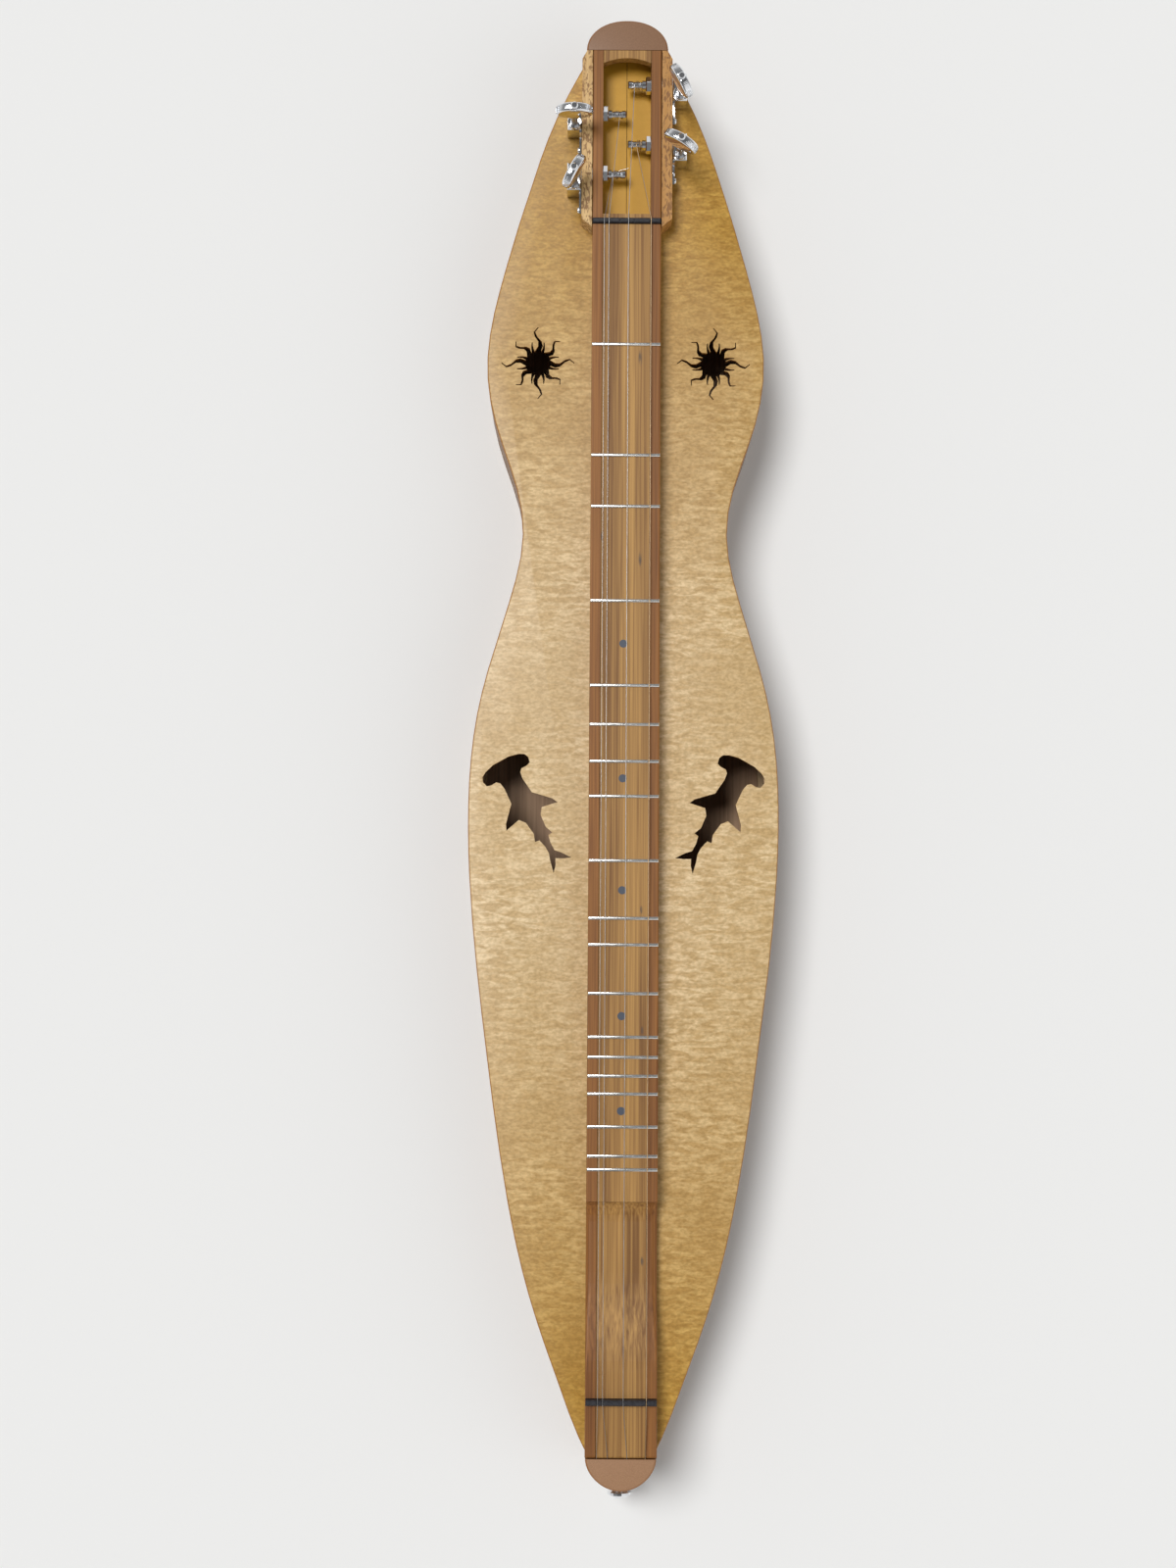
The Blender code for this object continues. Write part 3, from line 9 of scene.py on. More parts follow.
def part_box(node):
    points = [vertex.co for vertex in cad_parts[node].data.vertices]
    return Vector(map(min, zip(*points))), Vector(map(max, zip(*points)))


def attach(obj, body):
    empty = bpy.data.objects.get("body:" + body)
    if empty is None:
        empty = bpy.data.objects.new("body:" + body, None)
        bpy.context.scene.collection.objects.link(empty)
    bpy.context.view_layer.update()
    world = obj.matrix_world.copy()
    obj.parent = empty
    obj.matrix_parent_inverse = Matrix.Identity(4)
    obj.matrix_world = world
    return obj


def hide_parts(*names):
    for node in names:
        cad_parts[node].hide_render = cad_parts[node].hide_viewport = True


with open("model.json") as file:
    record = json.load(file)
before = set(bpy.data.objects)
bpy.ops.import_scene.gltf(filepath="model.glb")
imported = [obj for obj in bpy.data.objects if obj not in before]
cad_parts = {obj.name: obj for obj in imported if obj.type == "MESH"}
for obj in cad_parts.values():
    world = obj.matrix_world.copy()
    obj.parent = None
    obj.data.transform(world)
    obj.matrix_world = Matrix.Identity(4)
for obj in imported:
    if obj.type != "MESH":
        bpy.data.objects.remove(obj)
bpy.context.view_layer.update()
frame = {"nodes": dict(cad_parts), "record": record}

tunerNames = ("melody_outer", "bass", "melody_inner", "middle")

# Small helpers for modelling by operator


def pickNone():
    bpy.ops.object.select_all(action="DESELECT")


def takeOnly(piece):
    pickNone()
    piece.select_set(True)
    bpy.context.view_layer.objects.active = piece


def settle(piece):
    # Puts the piece's place, turn and size into its mesh.
    takeOnly(piece)
    bpy.ops.object.transform_apply(location=True, rotation=True, scale=True)
    return piece


def namedPiece(name):
    piece = bpy.context.object
    piece.name = name
    piece.data.name = name
    return piece


def addBlock(name, low, high):
    # A block between two corners.
    pickNone()
    middle = [(a + b) / 2 for a, b in zip(low, high)]
    size = [b - a for a, b in zip(low, high)]
    bpy.ops.mesh.primitive_cube_add(size=1, location=middle, scale=size)
    return settle(namedPiece(name))


def addDrum(name, radius, near, far, place, axis="Z", sides=48):
    # A drum between two distances along one axis through a place.
    pickNone()
    turn = {"X": (0, math.pi / 2, 0), "Y": (math.pi / 2, 0, 0), "Z": (0, 0, 0)}[axis]
    middle = Vector(place)
    middle["XYZ".index(axis)] = (near + far) / 2
    bpy.ops.mesh.primitive_cylinder_add(
        vertices=sides, radius=radius, depth=abs(far - near), location=middle, rotation=turn
    )
    return settle(namedPiece(name))


def pickEdges(piece, wanted):
    # Selects, in edit mode, the edges whose two ends pass a test.
    takeOnly(piece)
    bpy.ops.object.mode_set(mode="EDIT")
    bpy.ops.mesh.select_mode(type="EDGE")
    bpy.ops.mesh.select_all(action="DESELECT")
    shape = bmesh.from_edit_mesh(piece.data)
    for edge in shape.edges:
        edge.select_set(all(wanted(vertex.co) for vertex in edge.verts))
    bmesh.update_edit_mesh(piece.data)


def pickFaces(piece, wanted):
    # Selects, in edit mode, the faces whose centre and normal pass a test.
    takeOnly(piece)
    bpy.ops.object.mode_set(mode="EDIT")
    bpy.ops.mesh.select_mode(type="FACE")
    bpy.ops.mesh.select_all(action="DESELECT")
    shape = bmesh.from_edit_mesh(piece.data)
    shape.normal_update()
    for face in shape.faces:
        face.select_set(wanted(face.calc_center_median(), face.normal))
    bmesh.update_edit_mesh(piece.data)


def leaveEdit():
    bpy.ops.object.mode_set(mode="OBJECT")


def roundEdges(piece, wanted, width, segments=3):
    pickEdges(piece, wanted)
    bpy.ops.mesh.bevel(offset=width, segments=segments, affect="EDGES")
    leaveEdit()


def smooth(piece, degrees=35):
    takeOnly(piece)
    bpy.ops.object.shade_smooth_by_angle(angle=math.radians(degrees))
    return piece


def copyTo(piece, name, shift):
    # A copy with its own mesh, moved inside that mesh.
    twin = piece.copy()
    twin.data = piece.data.copy()
    twin.name = name
    twin.data.name = name
    twin.data.transform(Matrix.Translation(shift))
    bpy.context.scene.collection.objects.link(twin)
    return twin


def finishPiece(piece, body, material):
    piece.data.materials.clear()
    piece.data.materials.append(material)
    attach(piece, body)
    return piece


# Finishes


def linked(tree, source, sink):
    tree.links.new(source, sink)


def newMaterial(name, roughness, metallic=0.0, colour=(0.5, 0.5, 0.5)):
    material = bpy.data.materials.new(name)
    material.use_nodes = True
    shader = material.node_tree.nodes["Principled BSDF"]
    shader.inputs["Base Color"].default_value = (*colour, 1)
    shader.inputs["Roughness"].default_value = roughness
    shader.inputs["Metallic"].default_value = metallic
    if not metallic:
        shader.inputs["Specular IOR Level"].default_value = 0.3  # oiled, not polished
    return material, material.node_tree, shader


def makeGrainGroup():
    # Long fibres with softer bands between them, both drawn out along one axis.
    group = bpy.data.node_groups.new("woodFibres", "ShaderNodeTree")
    face = group.interface
    face.new_socket(name="Vector", in_out="INPUT", socket_type="NodeSocketVector")
    for label, value in (("Fibre Scale", 600.0), ("Fibre Stretch", 0.02), ("Band Scale", 90.0)):
        made = face.new_socket(name=label, in_out="INPUT", socket_type="NodeSocketFloat")
        made.default_value = value
    face.new_socket(name="Fibres", in_out="OUTPUT", socket_type="NodeSocketFloat")
    face.new_socket(name="Bands", in_out="OUTPUT", socket_type="NodeSocketFloat")
    nodes = group.nodes
    start = nodes.new("NodeGroupInput")
    end = nodes.new("NodeGroupOutput")
    stretch = nodes.new("ShaderNodeCombineXYZ")
    stretch.inputs[0].default_value = 1.0
    stretch.inputs[2].default_value = 1.0
    linked(group, start.outputs["Fibre Stretch"], stretch.inputs[1])
    drawn = nodes.new("ShaderNodeVectorMath")
    drawn.operation = "MULTIPLY"
    linked(group, start.outputs["Vector"], drawn.inputs[0])
    linked(group, stretch.outputs[0], drawn.inputs[1])
    for label, detail, result in (("Fibre Scale", 4.0, "Fibres"), ("Band Scale", 2.0, "Bands")):
        noise = nodes.new("ShaderNodeTexNoise")
        noise.inputs["Detail"].default_value = detail
        noise.inputs["Distortion"].default_value = 0.3
        linked(group, drawn.outputs[0], noise.inputs["Vector"])
        linked(group, start.outputs[label], noise.inputs["Scale"])
        linked(group, noise.outputs["Fac"], end.inputs[result])
    return group


fibreGroup = makeGrainGroup()


def fibres(tree, vector, scale, stretch, bands):
    node = tree.nodes.new("ShaderNodeGroup")
    node.node_tree = fibreGroup
    node.inputs["Fibre Scale"].default_value = scale
    node.inputs["Fibre Stretch"].default_value = stretch
    node.inputs["Band Scale"].default_value = bands
    linked(tree, vector, node.inputs["Vector"])
    return node


def objectPlace(tree):
    return tree.nodes.new("ShaderNodeTexCoord").outputs["Object"]


def ramp(tree, factor, stops):
    node = tree.nodes.new("ShaderNodeValToRGB")
    elements = node.color_ramp.elements
    while len(elements) < len(stops):
        elements.new(0.5)
    for element, (position, colour) in zip(elements, stops):
        element.position = position
        element.color = (*colour, 1)
    linked(tree, factor, node.inputs["Fac"])
    return node.outputs["Color"]


def spread(tree, value, low, high, newLow=0.0, newHigh=1.0):
    # Draws a range of a value out to another range, held at both ends.
    node = tree.nodes.new("ShaderNodeMapRange")
    for label, number in zip(
        ("From Min", "From Max", "To Min", "To Max"), (low, high, newLow, newHigh)
    ):
        node.inputs[label].default_value = number
    linked(tree, value, node.inputs["Value"])
    return node.outputs["Result"]


def mixed(tree, factor, first, second, way="MIX"):
    node = tree.nodes.new("ShaderNodeMix")
    node.data_type = "RGBA"
    node.blend_type = way
    for value, label in ((factor, 0), (first, 6), (second, 7)):
        if isinstance(value, bpy.types.NodeSocket):
            linked(tree, value, node.inputs[label])
        elif isinstance(value, (int, float)):
            node.inputs[label].default_value = value
        else:
            node.inputs[label].default_value = (*value, 1)
    return node.outputs[2]


def sums(tree, operation, first, second=0.0):
    node = tree.nodes.new("ShaderNodeMath")
    node.operation = operation
    for i, value in enumerate((first, second)):
        if isinstance(value, bpy.types.NodeSocket):
            linked(tree, value, node.inputs[i])
        else:
            node.inputs[i].default_value = value
    return node.outputs[0]


def relief(tree, shader, height, strength, distance=0.0002):
    bump = tree.nodes.new("ShaderNodeBump")
    bump.inputs["Strength"].default_value = strength
    bump.inputs["Distance"].default_value = distance
    linked(tree, height, bump.inputs["Height"])
    linked(tree, bump.outputs["Normal"], shader.inputs["Normal"])


def scaledPlace(tree, vector, scale):
    node = tree.nodes.new("ShaderNodeMapping")
    node.inputs["Scale"].default_value = scale
    linked(tree, vector, node.inputs["Vector"])
    return node.outputs[0]


def noiseOf(tree, vector, scale, detail=3.0, distortion=0.0):
    node = tree.nodes.new("ShaderNodeTexNoise")
    node.inputs["Scale"].default_value = scale
    node.inputs["Detail"].default_value = detail
    node.inputs["Distortion"].default_value = distortion
    linked(tree, vector, node.inputs["Vector"])
    return node.outputs["Fac"]


def makeWood(name, dark, light, scale=700, stretch=0.02, bands=60, roughness=0.45, bump=0.15):
    # Straight-grained timber: fibres along the instrument in two tones.
    material, tree, shader = newMaterial(name, roughness)
    grain = fibres(tree, objectPlace(tree), scale, stretch, bands)
    tone = sums(tree, "MULTIPLY", grain.outputs["Fibres"], 0.6)
    tone = sums(tree, "ADD", tone, sums(tree, "MULTIPLY", grain.outputs["Bands"], 0.4))
    tone = spread(tree, tone, 0.36, 0.64)
    linked(tree, ramp(tree, tone, ((0, dark), (1, light))), shader.inputs["Base Color"])
    relief(tree, shader, grain.outputs["Fibres"], bump)
    shader.inputs["Coat Weight"].default_value = 0.05
    shader.inputs["Coat Roughness"].default_value = 0.25
    return material, tree, shader


nutLow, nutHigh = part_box("nut")
coreLow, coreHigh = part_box("fretboard_core")
nutY = (nutLow.y + nutHigh.y) / 2
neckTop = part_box("head_cap")[1].z
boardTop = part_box("soundboard_left")[1].z

mapleLooks = {
    # The pale middle colour holds a painted sheen: the glare of the light on the middle of the board.
    "paleWithPaintedSheen": (0.78, 0.61, 0.37),
    "warm": (0.56, 0.34, 0.070),
    "slotFloor": (0.61, 0.32, 0.022),
    # The edge colour is partly the end grain of the rounded edge and partly painted shade on faces
    # tilted away from straight up.
    "edge": (0.33, 0.13, 0.02),
    "slotHalf": coreHigh.x + 0.0002,
}


def makeMaple():
    # Pale maple with fine cross ripples: paler in the middle with a painted sheen for the glare of the
    # light, warmer towards both ends, and a dark edge where faces tilt away from straight up, partly
    # the end grain of the rounded edge and partly painted shade.
    material, tree, shader = newMaterial("curlyMaple", 0.38)
    place = objectPlace(tree)
    parted = tree.nodes.new("ShaderNodeSeparateXYZ")
    linked(tree, place, parted.inputs[0])
    along = sums(tree, "ABSOLUTE", sums(tree, "ADD", parted.outputs["Y"], 0.03))
    ends = spread(tree, along, 0.09, 0.35)
    # Painted sheen: paler towards the middle of the board, the warm wood colour towards both ends.
    base = mixed(tree, ends, mapleLooks["paleWithPaintedSheen"], mapleLooks["warm"])
    wavy = noiseOf(tree, scaledPlace(tree, place, (1.0, 3.6, 1.0)), 88, 3, 0.7)
    fine = noiseOf(tree, scaledPlace(tree, place, (1.0, 1.6, 1.0)), 420, 3, 0.3)
    patches = spread(tree, noiseOf(tree, place, 16, 2), 0.35, 0.65, 0.25, 1.0)
    ripple = sums(tree, "MULTIPLY", spread(tree, wavy, 0.40, 0.62), patches)
    shade = ramp(tree, ripple, ((0, (0.79, 0.71, 0.57)), (1, (1.08, 1.08, 1.10))))
    base = mixed(tree, 1.0, base, shade, "MULTIPLY")
    pores = ramp(
        tree,
        spread(tree, fine, 0.34, 0.66),
        ((0, (0.81, 0.78, 0.70)), (1, (1.09, 1.09, 1.09))),
    )
    base = mixed(tree, 1.0, base, pores, "MULTIPLY")
    grain = fibres(tree, place, 900, 0.015, 30)
    bands = ramp(
        tree,
        spread(tree, grain.outputs["Bands"], 0.3, 0.7),
        ((0, (0.93, 0.90, 0.85)), (1, (1, 1, 1))),
    )
    base = mixed(tree, 1.0, base, bands, "MULTIPLY")
    across = sums(tree, "ABSOLUTE", parted.outputs["X"])
    inSlot = sums(tree, "LESS_THAN", across, mapleLooks["slotHalf"])
    ahead = sums(tree, "GREATER_THAN", parted.outputs["Y"], nutY)
    inSlot = sums(tree, "MULTIPLY", inSlot, ahead)
    base = mixed(tree, sums(tree, "MULTIPLY", inSlot, 0.88), base, mapleLooks["slotFloor"])
    geometry = tree.nodes.new("ShaderNodeNewGeometry")
    tilt = tree.nodes.new("ShaderNodeSeparateXYZ")
    linked(tree, geometry.outputs["Normal"], tilt.inputs[0])
    # Partly end grain, partly painted shade: faces that tilt away from straight up, such as the
    # rounded edge and the hole walls, get the dark edge colour.
    flat = spread(tree, tilt.outputs["Z"], 0.75, 0.96)
    base = mixed(tree, flat, mapleLooks["edge"], base)
    linked(tree, base, shader.inputs["Base Color"])
    relief(tree, shader, ripple, 0.06)
    shader.inputs["Coat Weight"].default_value = 0.10
    shader.inputs["Coat Roughness"].default_value = 0.3
    return material


def baseSource(shader):
    return shader.inputs["Base Color"].links[0].from_socket


streakLooks = {
    "colour": (0.05, 0.045, 0.045),
    "depth": 0.75,
    # x, distance from the nut, half width and half length of each streak
    "places": (
        (0.0086, 0.0846, 0.0012, 0.0052),
        (-0.0139, 0.1934, 0.0007, 0.0030),
        (0.0089, 0.2070, 0.0010, 0.0046),
        (0.0106, 0.4163, 0.0009, 0.0026),
        (0.0114, 0.4869, 0.0008, 0.0026),
        (0.0120, 0.6210, 0.0009, 0.0030),
    ),
}


def streakMask(tree, place, streak):
    # A soft lens of dark grain about one point of the board.
    x, station, wide, long = streak
    centred = tree.nodes.new("ShaderNodeVectorMath")
    centred.operation = "SUBTRACT"
    centred.inputs[1].default_value = (x, nutY - station, 0)
    linked(tree, place, centred.inputs[0])
    scaled = tree.nodes.new("ShaderNodeVectorMath")
    scaled.operation = "MULTIPLY"
    scaled.inputs[1].default_value = (1 / wide, 1 / long, 0)
    linked(tree, centred.outputs[0], scaled.inputs[0])
    length = tree.nodes.new("ShaderNodeVectorMath")
    length.operation = "LENGTH"
    linked(tree, scaled.outputs[0], length.inputs[0])
    return spread(tree, length.outputs["Value"], 0.55, 1.15, 1.0, 0.0)


def makeCore():
    # Golden brown with dark mineral streaks here and there.
    material, tree, shader = makeWood(
        "goldenHardwood", (0.19, 0.082, 0.020), (0.50, 0.275, 0.080), 800, 0.010, 120, 0.48
    )
    place = objectPlace(tree)
    mask = 0.0
    for streak in streakLooks["places"]:
        mask = sums(tree, "MAXIMUM", streakMask(tree, place, streak), mask)
    ragged = spread(tree, noiseOf(tree, scaledPlace(tree, place, (1, 0.1, 1)), 1500), 0.3, 0.6)
    mask = sums(tree, "MULTIPLY", mask, sums(tree, "MULTIPLY", ragged, streakLooks["depth"]))
    base = mixed(tree, mask, baseSource(shader), streakLooks["colour"])
    linked(tree, base, shader.inputs["Base Color"])
    return material


def makeCheek():
    # Speckled wood, paler on the left cheek than on the right one.
    material, tree, shader = makeWood(
        "speckledWood", (0.56, 0.34, 0.13), (0.76, 0.52, 0.24), 500, 0.05, 90, 0.45
    )
    place = objectPlace(tree)
    parted = tree.nodes.new("ShaderNodeSeparateXYZ")
    linked(tree, place, parted.inputs[0])
    right = sums(tree, "GREATER_THAN", parted.outputs["X"], 0.0)
    base = mixed(tree, sums(tree, "MULTIPLY", right, 0.75), baseSource(shader), (0.42, 0.17, 0.02))
    flecks = noiseOf(tree, scaledPlace(tree, place, (1, 0.4, 1)), 620, 2, 0.8)
    mask = spread(tree, flecks, 0.50, 0.58, 0.0, 0.8)
    base = mixed(tree, mask, base, (0.20, 0.085, 0.025))
    linked(tree, base, shader.inputs["Base Color"])
    return material


def makeCap(name, face, rim):
    # End grain on the face, and painted shade on the rounded rim: faces that tilt away from straight
    # up take the darker rim colour.
    material, tree, shader = newMaterial(name, 0.5)
    place = objectPlace(tree)
    pores = spread(tree, noiseOf(tree, place, 1600, 3), 0.35, 0.65)
    shade = ramp(tree, pores, ((0, (0.86, 0.84, 0.82)), (1, (1, 1, 1))))
    geometry = tree.nodes.new("ShaderNodeNewGeometry")
    parted = tree.nodes.new("ShaderNodeSeparateXYZ")
    linked(tree, geometry.outputs["Normal"], parted.inputs[0])
    # Painted shade: the rim colour goes where the surface tilts away from straight up.
    flat = spread(tree, parted.outputs["Z"], 0.80, 0.97)
    base = mixed(tree, flat, rim, face)
    linked(tree, mixed(tree, 1.0, base, shade, "MULTIPLY"), shader.inputs["Base Color"])
    relief(tree, shader, pores, 0.05)
    shader.inputs["Coat Weight"].default_value = 0.2
    shader.inputs["Coat Roughness"].default_value = 0.25
    return material


def makeMetal(name, colour, roughness, wear=0.03):
    # Bright metal with faint unevenness in its polish.
    material, tree, shader = newMaterial(name, roughness, 1.0, colour)
    polish = noiseOf(tree, objectPlace(tree), 400, 3)
    low = max(0.02, roughness - wear)
    linked(
        tree,
        spread(tree, polish, 0.3, 0.7, low, roughness + wear),
        shader.inputs["Roughness"],
    )
    return material


def makeWound():
    # Bronze winding, ribbed round the string.
    material, tree, shader = newMaterial("woundBronze", 0.38, 1.0, (0.45, 0.32, 0.19))
    wave = tree.nodes.new("ShaderNodeTexWave")
    wave.bands_direction = "Y"
    wave.inputs["Scale"].default_value = 900
    linked(tree, objectPlace(tree), wave.inputs["Vector"])
    relief(tree, shader, wave.outputs["Fac"], 0.3, 0.00005)
    return material


def makeBlack():
    material, tree, shader = newMaterial("blackBone", 0.5)
    grain = spread(tree, noiseOf(tree, objectPlace(tree), 700, 4), 0.3, 0.7)
    linked(
        tree,
        ramp(tree, grain, ((0, (0.012, 0.012, 0.015)), (1, (0.032, 0.032, 0.038)))),
        shader.inputs["Base Color"],
    )
    return material


maple = makeMaple()
core = makeCore()
redWood = makeWood("redHardwood", (0.155, 0.053, 0.010), (0.32, 0.130, 0.028), 800, 0.015, 130, 0.5)[0]
cheekWood = makeCheek()
backWood = makeWood("walnut", (0.16, 0.092, 0.052), (0.33, 0.205, 0.125), 600, 0.02, 80, 0.6)[0]
# Painted light: the back plates take a brighter copy of the ribs' walnut, standing for the light that
# reaches them through the sound holes.
walnutWithPaintedLight = makeWood("backWood", (0.31, 0.185, 0.105), (0.52, 0.33, 0.20), 600, 0.02, 80, 0.6)[0]
liningWood = makeWood("liningWood", (0.45, 0.30, 0.16), (0.62, 0.45, 0.27), 500, 0.03, 60, 0.7)[0]
# The second colour of each cap and block is painted shade for its rounded rim.
headCapWood = makeCap("headEndGrain", (0.27, 0.145, 0.078), (0.26, 0.095, 0.016))
tailCapWood = makeCap("tailEndGrain", (0.38, 0.21, 0.112), (0.30, 0.12, 0.03))
blockWood = makeCap("blockEndGrain", (0.33, 0.19, 0.10), (0.28, 0.14, 0.06))
blackBone = makeBlack()
chrome = makeMetal("chrome", (0.86, 0.87, 0.89), 0.07)
steel = makeMetal("steelWire", (0.46, 0.46, 0.47), 0.34)
nickel = makeMetal("nickel", (0.74, 0.73, 0.70), 0.24)
bronze = makeWound()
dotStone = newMaterial("dotStone", 0.35, 0.0, (0.075, 0.085, 0.11))[0]

finishes = {
    "soundboard": maple,
    "back_brace": liningWood,
    "back_": walnutWithPaintedLight,
    "rib_": backWood,
    "lining": liningWood,
    "fretboard_core": core,
    "fretboard_strip": redWood,
    "peg_slot": core,
    "head_cheek": cheekWood,
    "head_cap": headCapWood,
    "tail_cap": tailCapWood,
    "head_block": blockWood,
    "tail_block": blockWood,
    "nut": blackBone,
    "bridge": blackBone,
    "string_bass": bronze,
    "winding_bass": bronze,
    "string_": steel,
    "winding_": steel,
    "hitch_pin": steel,
    "tuner_worm": steel,
    "soundboard_brace": liningWood,
}


def dressFrame():
    # Gives each solid of the frame its finish.
    for name, node in frame["nodes"].items():
        fits = [start for start in finishes if name.startswith(start)]
        finish = finishes[max(fits, key=len)] if fits else chrome
        node.data.materials.clear()
        node.data.materials.append(finish)


dressFrame()
print("stage: finishes on the frame")

# Soundboard edges and the caps of the head and the tail

edgeLooks = {"rounding": 0.0012, "segments": 5, "seam": 0.001}


def outerRim(shape, top):
    # The upper edges that are linked to the widest corner, up to the seam in the middle.
    def onRim(edge):
        high = all(abs(vertex.co.z - top) < 1e-5 for vertex in edge.verts)
        clear = all(abs(vertex.co.x) > edgeLooks["seam"] for vertex in edge.verts)
        return high and clear and len(edge.link_faces) == 2 and edge.calc_face_angle() > 1.0

    start = max(
        (vertex for vertex in shape.verts if abs(vertex.co.z - top) < 1e-5),
        key=lambda vertex: abs(vertex.co.x),
    )
    rim = set()
    waiting = [start]
    while waiting:
        for edge in waiting.pop().link_edges:
            if edge not in rim and onRim(edge):
                rim.add(edge)
                waiting.extend(edge.verts)
    return rim


def makeBoard(node):
    # The soundboard half with its outer edge rounded over.
    board = frame["nodes"][node].copy()
    board.data = board.data.copy()
    board.name = "rounded_" + node
    board.parent = None
    board.matrix_world = Matrix()
    bpy.context.scene.collection.objects.link(board)
    takeOnly(board)
    bpy.ops.mesh.customdata_custom_splitnormals_clear()
    bpy.ops.object.mode_set(mode="EDIT")
    bpy.ops.mesh.select_mode(type="EDGE")
    bpy.ops.mesh.select_all(action="SELECT")
    bpy.ops.mesh.remove_doubles(threshold=0.00001)
    bpy.ops.mesh.dissolve_limited(angle_limit=math.radians(1))
    bpy.ops.mesh.select_all(action="DESELECT")
    shape = bmesh.from_edit_mesh(board.data)
    for edge in outerRim(shape, boardTop):
        edge.select_set(True)
    bmesh.update_edit_mesh(board.data)
    bpy.ops.mesh.bevel(
        offset=edgeLooks["rounding"], segments=edgeLooks["segments"], affect="EDGES"
    )
    leaveEdit()
    smooth(board, 12)
    finishPiece(board, "instrument", maple)
    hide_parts(node)


makeBoard("soundboard_left")
makeBoard("soundboard_right")

capLooks = {
    "head": {"fullness": 2.1, "halfWidth": 0.0248, "material": headCapWood, "forward": 0.0},
    "tail": {"fullness": 1.85, "halfWidth": 0.0206, "material": tailCapWood, "forward": 0.0008},
    "rim": 0.0016,
}


def makeEndCap(end):
    # A nose that narrows in a full curve, with its upper edge rounded over.
    node = end + "_cap"
    low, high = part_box(node)
    looks = capLooks[end]
    outward = 1 if end == "head" else -1
    base = (low.y if outward > 0 else high.y) - outward * looks["forward"]
    length = high.y - low.y + looks["forward"]
    cap = addDrum(node + "_rounded", 1.0, low.z, high.z, (0, 0, 0), "Z", 160)
    power = 2 / looks["fullness"]
    for vertex in cap.data.vertices:
        x, y = vertex.co.xy
        vertex.co.x = math.copysign(abs(x) ** power, x) * looks["halfWidth"]
        vertex.co.y = base + math.copysign(abs(y) ** power, y) * length
    takeOnly(cap)
    bpy.ops.object.mode_set(mode="EDIT")
    bpy.ops.mesh.select_all(action="SELECT")
    bpy.ops.mesh.bisect(
        plane_co=(0, base, 0), plane_no=(0, outward, 0), use_fill=True, clear_inner=True
    )
    leaveEdit()
    pickEdges(cap, lambda place: place.z > high.z - 1e-6)
    shape = bmesh.from_edit_mesh(cap.data)
    for edge in shape.edges:
        if all(abs(vertex.co.y - base) < 1e-6 for vertex in edge.verts):
            edge.select_set(False)
    bmesh.update_edit_mesh(cap.data)
    bpy.ops.mesh.bevel(offset=capLooks["rim"], segments=5, affect="EDGES")
    leaveEdit()
    smooth(cap, 17)
    finishPiece(cap, "instrument", looks["material"])
    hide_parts(node)


makeEndCap("head")
makeEndCap("tail")
print("stage: board edges and caps")

# Frets and position dots

fretLooks = {"width": 0.0021, "rise": 0.00105, "sink": 0.0002, "endInset": 0.0001}
scaleLength = 0.6985
fretSemitones = (2, 4, 5, 7, 9, 10, 11, 12, 14, 16, 17, 19, 21, 22, 23, 24, 26, 28, 29)


def fretY(semitones):
    return nutY - scaleLength * (1 - 2 ** (-semitones / 12))


def makeFrets():
    # One crown with a rounded top and filed ends, copied to each place.
    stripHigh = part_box("fretboard_strip_right")[1].x
    half = stripHigh - fretLooks["endInset"]
    y = fretY(fretSemitones[0])
    low = (-half, y - fretLooks["width"] / 2, neckTop - fretLooks["sink"])
    high = (half, y + fretLooks["width"] / 2, neckTop + fretLooks["rise"])
    first = addBlock("fret_01", low, high)
    roundEdges(
        first,
        lambda place: place.z > neckTop + fretLooks["rise"] * 0.9,
        fretLooks["width"] * 0.42,
        5,
    )
    smooth(first, 50)
    finishPiece(first, "instrument", nickel)
    for number, semitones in enumerate(fretSemitones[1:], 2):
        copyTo(first, f"fret_{number:02d}", (0, fretY(semitones) - y, 0))


makeFrets()

dotLooks = {"radius": 0.0024, "rise": 0.00006, "sink": 0.0003, "x": -0.0008}
dotStations = (0.2581, 0.3386, 0.4048, 0.4786, 0.5338)


def makeDots():
    place = (dotLooks["x"], nutY - dotStations[0], 0)
    bottom = neckTop - dotLooks["sink"]
    top = neckTop + dotLooks["rise"]
    first = addDrum("position_dot_1", dotLooks["radius"], bottom, top, place)
    roundEdges(first, lambda point: point.z > neckTop, 0.00004, 1)
    smooth(first)
    finishPiece(first, "instrument", dotStone)
    for number, station in enumerate(dotStations[1:], 2):
        copyTo(first, f"position_dot_{number}", (0, dotStations[0] - station, 0))


makeDots()
print("stage: frets and dots")

# Tuner dress: crowned buttons, collars on the housings and the tabs' screws

buttonLooks = {"crown": 0.0002, "edge": 0.0017, "flat": 0.0015}
collarLooks = {"radius": 0.0041, "height": 0.0011, "bore": 0.00225}
screwLooks = {"radius": 0.0020, "height": 0.0011, "fromEnd": 0.0030}


def jointPlace(tuner, kind):
    for joint in frame["record"]["behaviour"]["joints"]:
        if joint["name"] == f"turn_{kind}_{tuner}":
            return Vector(joint["pos_m"])


buttonTurns = {"melody_outer": 61.5, "bass": -32.0, "melody_inner": 0.0, "middle": -61.6}


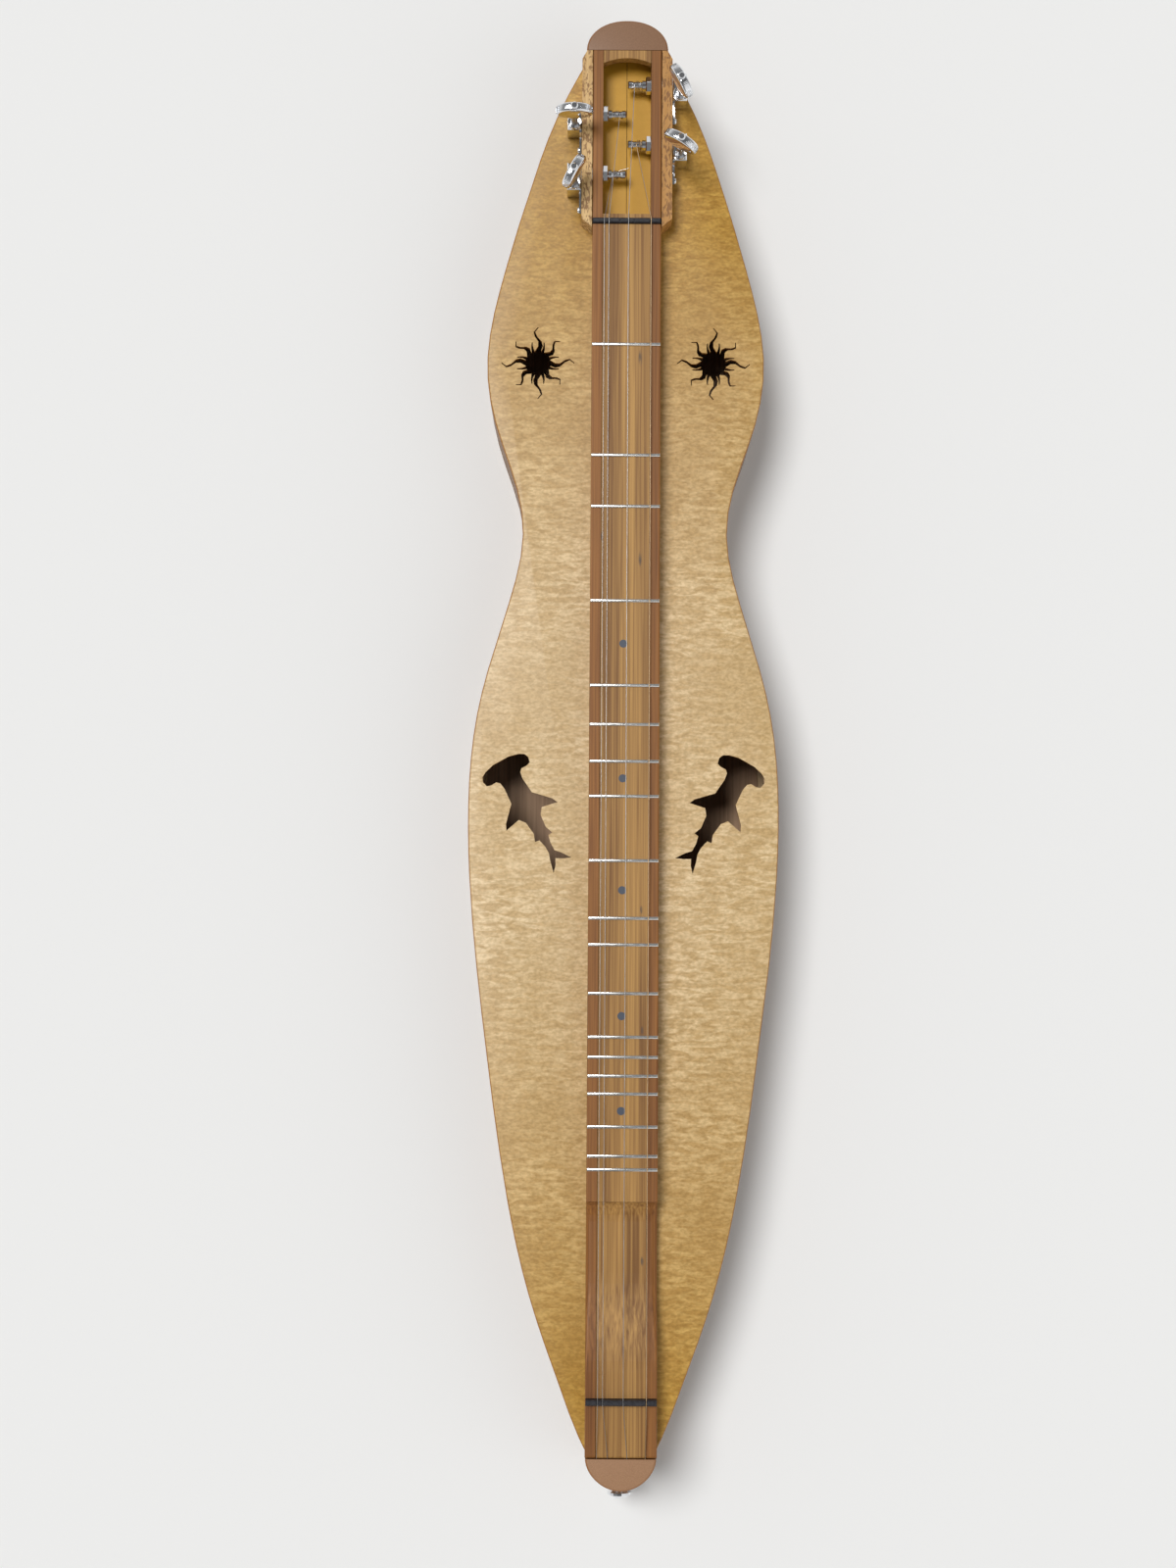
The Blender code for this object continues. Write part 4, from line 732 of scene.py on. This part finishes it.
def makeButton(tuner):
    # A thick oval knob with well rounded edges, its two faces a little full.
    node = "tuner_button_" + tuner
    axis = jointPlace(tuner, "button")
    low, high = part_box(node)
    plainLow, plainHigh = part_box("tuner_button_melody_inner")
    wide = plainHigh.x - plainLow.x
    thick = plainHigh.y - plainLow.y - 2 * buttonLooks["crown"]
    tall = high.z - low.z
    knob = addDrum("button_" + tuner, 0.5, -0.5, 0.5, (0, 0, 0), "Y", 72)
    knob.scale = (wide, thick, tall)
    settle(knob)
    roundEdges(knob, lambda place: True, buttonLooks["edge"], 6)
    for side in (-1, 1):
        pickFaces(knob, lambda centre, normal: normal.y * side > 0.99)
        bpy.ops.mesh.inset(thickness=buttonLooks["flat"], depth=0)
        bpy.ops.transform.translate(value=(0, side * buttonLooks["crown"], 0))
        leaveEdit()
    knob.rotation_euler = (0, 0, math.radians(buttonTurns[tuner]))
    knob.location = (axis.x, axis.y, (low.z + high.z) / 2)
    settle(knob)
    smooth(knob, 40)
    finishPiece(knob, "button_" + tuner, chrome)
    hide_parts(node)


def makeCollar(tuner):
    # The bright ring that the button's shaft comes out of.
    axis = jointPlace(tuner, "button")
    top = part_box("tuner_housing_" + tuner)[1].z
    ring = addDrum(
        "collar_" + tuner, collarLooks["radius"], top - 0.0002, top + collarLooks["height"], axis
    )
    pickFaces(ring, lambda centre, normal: normal.z > 0.9)
    bpy.ops.mesh.inset(thickness=collarLooks["radius"] - collarLooks["bore"], depth=0)
    bpy.ops.transform.translate(value=(0, 0, -collarLooks["height"] * 0.6))
    leaveEdit()
    roundEdges(
        ring,
        lambda place: place.z > top + collarLooks["height"] * 0.95
        and (place.xy - axis.xy).length > collarLooks["radius"] * 0.9,
        0.0003,
        2,
    )
    smooth(ring)
    finishPiece(ring, "instrument", chrome)


def makeTabScrew(tuner):
    # A small domed screw with a shallow round recess in its head, through each tab.
    low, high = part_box("tuner_housing_" + tuner)
    side = 1 if low.x > 0 else -1
    tabOut = side * (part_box("head_cheek_right")[1].x + 0.0003 + 0.0012)
    post = jointPlace(tuner, "post")
    place = (0, low.y + screwLooks["fromEnd"], post.z)
    near, far = sorted((tabOut - side * 0.0002, tabOut + side * screwLooks["height"]))
    head = addDrum("tab_screw_" + tuner, screwLooks["radius"], near, far, place, "X", 32)
    outer = far if side > 0 else near
    roundEdges(head, lambda point: abs(point.x - outer) < 1e-6, 0.0006, 3)
    pickFaces(head, lambda centre, normal: normal.x * side > 0.98)
    bpy.ops.mesh.inset(thickness=screwLooks["radius"] * 0.2, depth=0)
    bpy.ops.transform.translate(value=(-side * 0.0003, 0, 0))
    leaveEdit()
    smooth(head)
    finishPiece(head, "instrument", chrome)


for tunerName in tunerNames:
    makeButton(tunerName)
    makeCollar(tunerName)
    makeTabScrew(tunerName)
print("stage: tuner dress")

# Floor, light and camera

roomLooks = {
    "floor": (0.86, 0.86, 0.85),
    # where each light comes from, its strength and how widely it is spread
    "key": ((-0.62, 0.45, 1.9), 2.15, 26),
    "fill": ((1.3, -1.0, 1.4), 0.45, 60),
    # brightness of the surroundings from the horizon up to straight above
    "sky": ((0.0, 0.88), (0.10, 0.80), (0.35, 0.36), (1.0, 0.10)),
}


def addLight(name, looks):
    origin, strength, spreadAngle = looks
    lamp = bpy.data.lights.new(name, "SUN")
    lamp.energy = strength
    lamp.angle = math.radians(spreadAngle)
    holder = bpy.data.objects.new(name, lamp)
    bpy.context.scene.collection.objects.link(holder)
    holder.location = origin
    holder.rotation_mode = "QUATERNION"
    holder.rotation_quaternion = (-Vector(origin)).to_track_quat("-Z", "Y")


def makeRoom():
    pickNone()
    bpy.ops.mesh.primitive_plane_add(size=60, location=(0, 0, -0.0004))
    floor = namedPiece("floor")
    material, tree, shader = newMaterial("paleFloor", 0.9, 0.0, roomLooks["floor"])
    floor.data.materials.append(material)
    world = bpy.data.worlds.new("paleRoom")
    world.use_nodes = True
    bpy.context.scene.world = world
    tree = world.node_tree
    back = tree.nodes["Background"]
    direction = tree.nodes.new("ShaderNodeTexCoord").outputs["Generated"]
    parted = tree.nodes.new("ShaderNodeSeparateXYZ")
    linked(tree, direction, parted.inputs[0])
    stops = [(height, (level, level, level)) for height, level in roomLooks["sky"]]
    linked(tree, ramp(tree, parted.outputs["Z"], stops), back.inputs["Color"])
    addLight("keyLight", roomLooks["key"])
    addLight("fillLight", roomLooks["fill"])


cameraLooks = {
    "lens": 50.0,
    "distance": 1.28893,
    "tilt": math.radians(4.8744),
    "roll": 0.0064,
    "footStation": 0.34208,
    "footX": -0.0213,
}


def makeCamera():
    # The photograph's viewpoint: above the middle, leaning a little towards the tail.
    data = bpy.data.cameras.new("viewCamera")
    data.lens = cameraLooks["lens"]
    data.sensor_width = 36.0
    data.clip_start = 0.05
    camera = bpy.data.objects.new("viewCamera", data)
    bpy.context.scene.collection.objects.link(camera)
    tilt = cameraLooks["tilt"]
    foot = Vector((cameraLooks["footX"], nutY - cameraLooks["footStation"], neckTop))
    back = Vector((0, -math.sin(tilt), math.cos(tilt))) * cameraLooks["distance"]
    turn = Matrix.Rotation(tilt, 4, "X") @ Matrix.Rotation(cameraLooks["roll"], 4, "Z")
    camera.matrix_world = Matrix.Translation(foot + back) @ turn
    bpy.context.scene.camera = camera


makeRoom()
makeCamera()
bpy.context.scene.view_settings.view_transform = "Standard"
print("stage: room and camera")
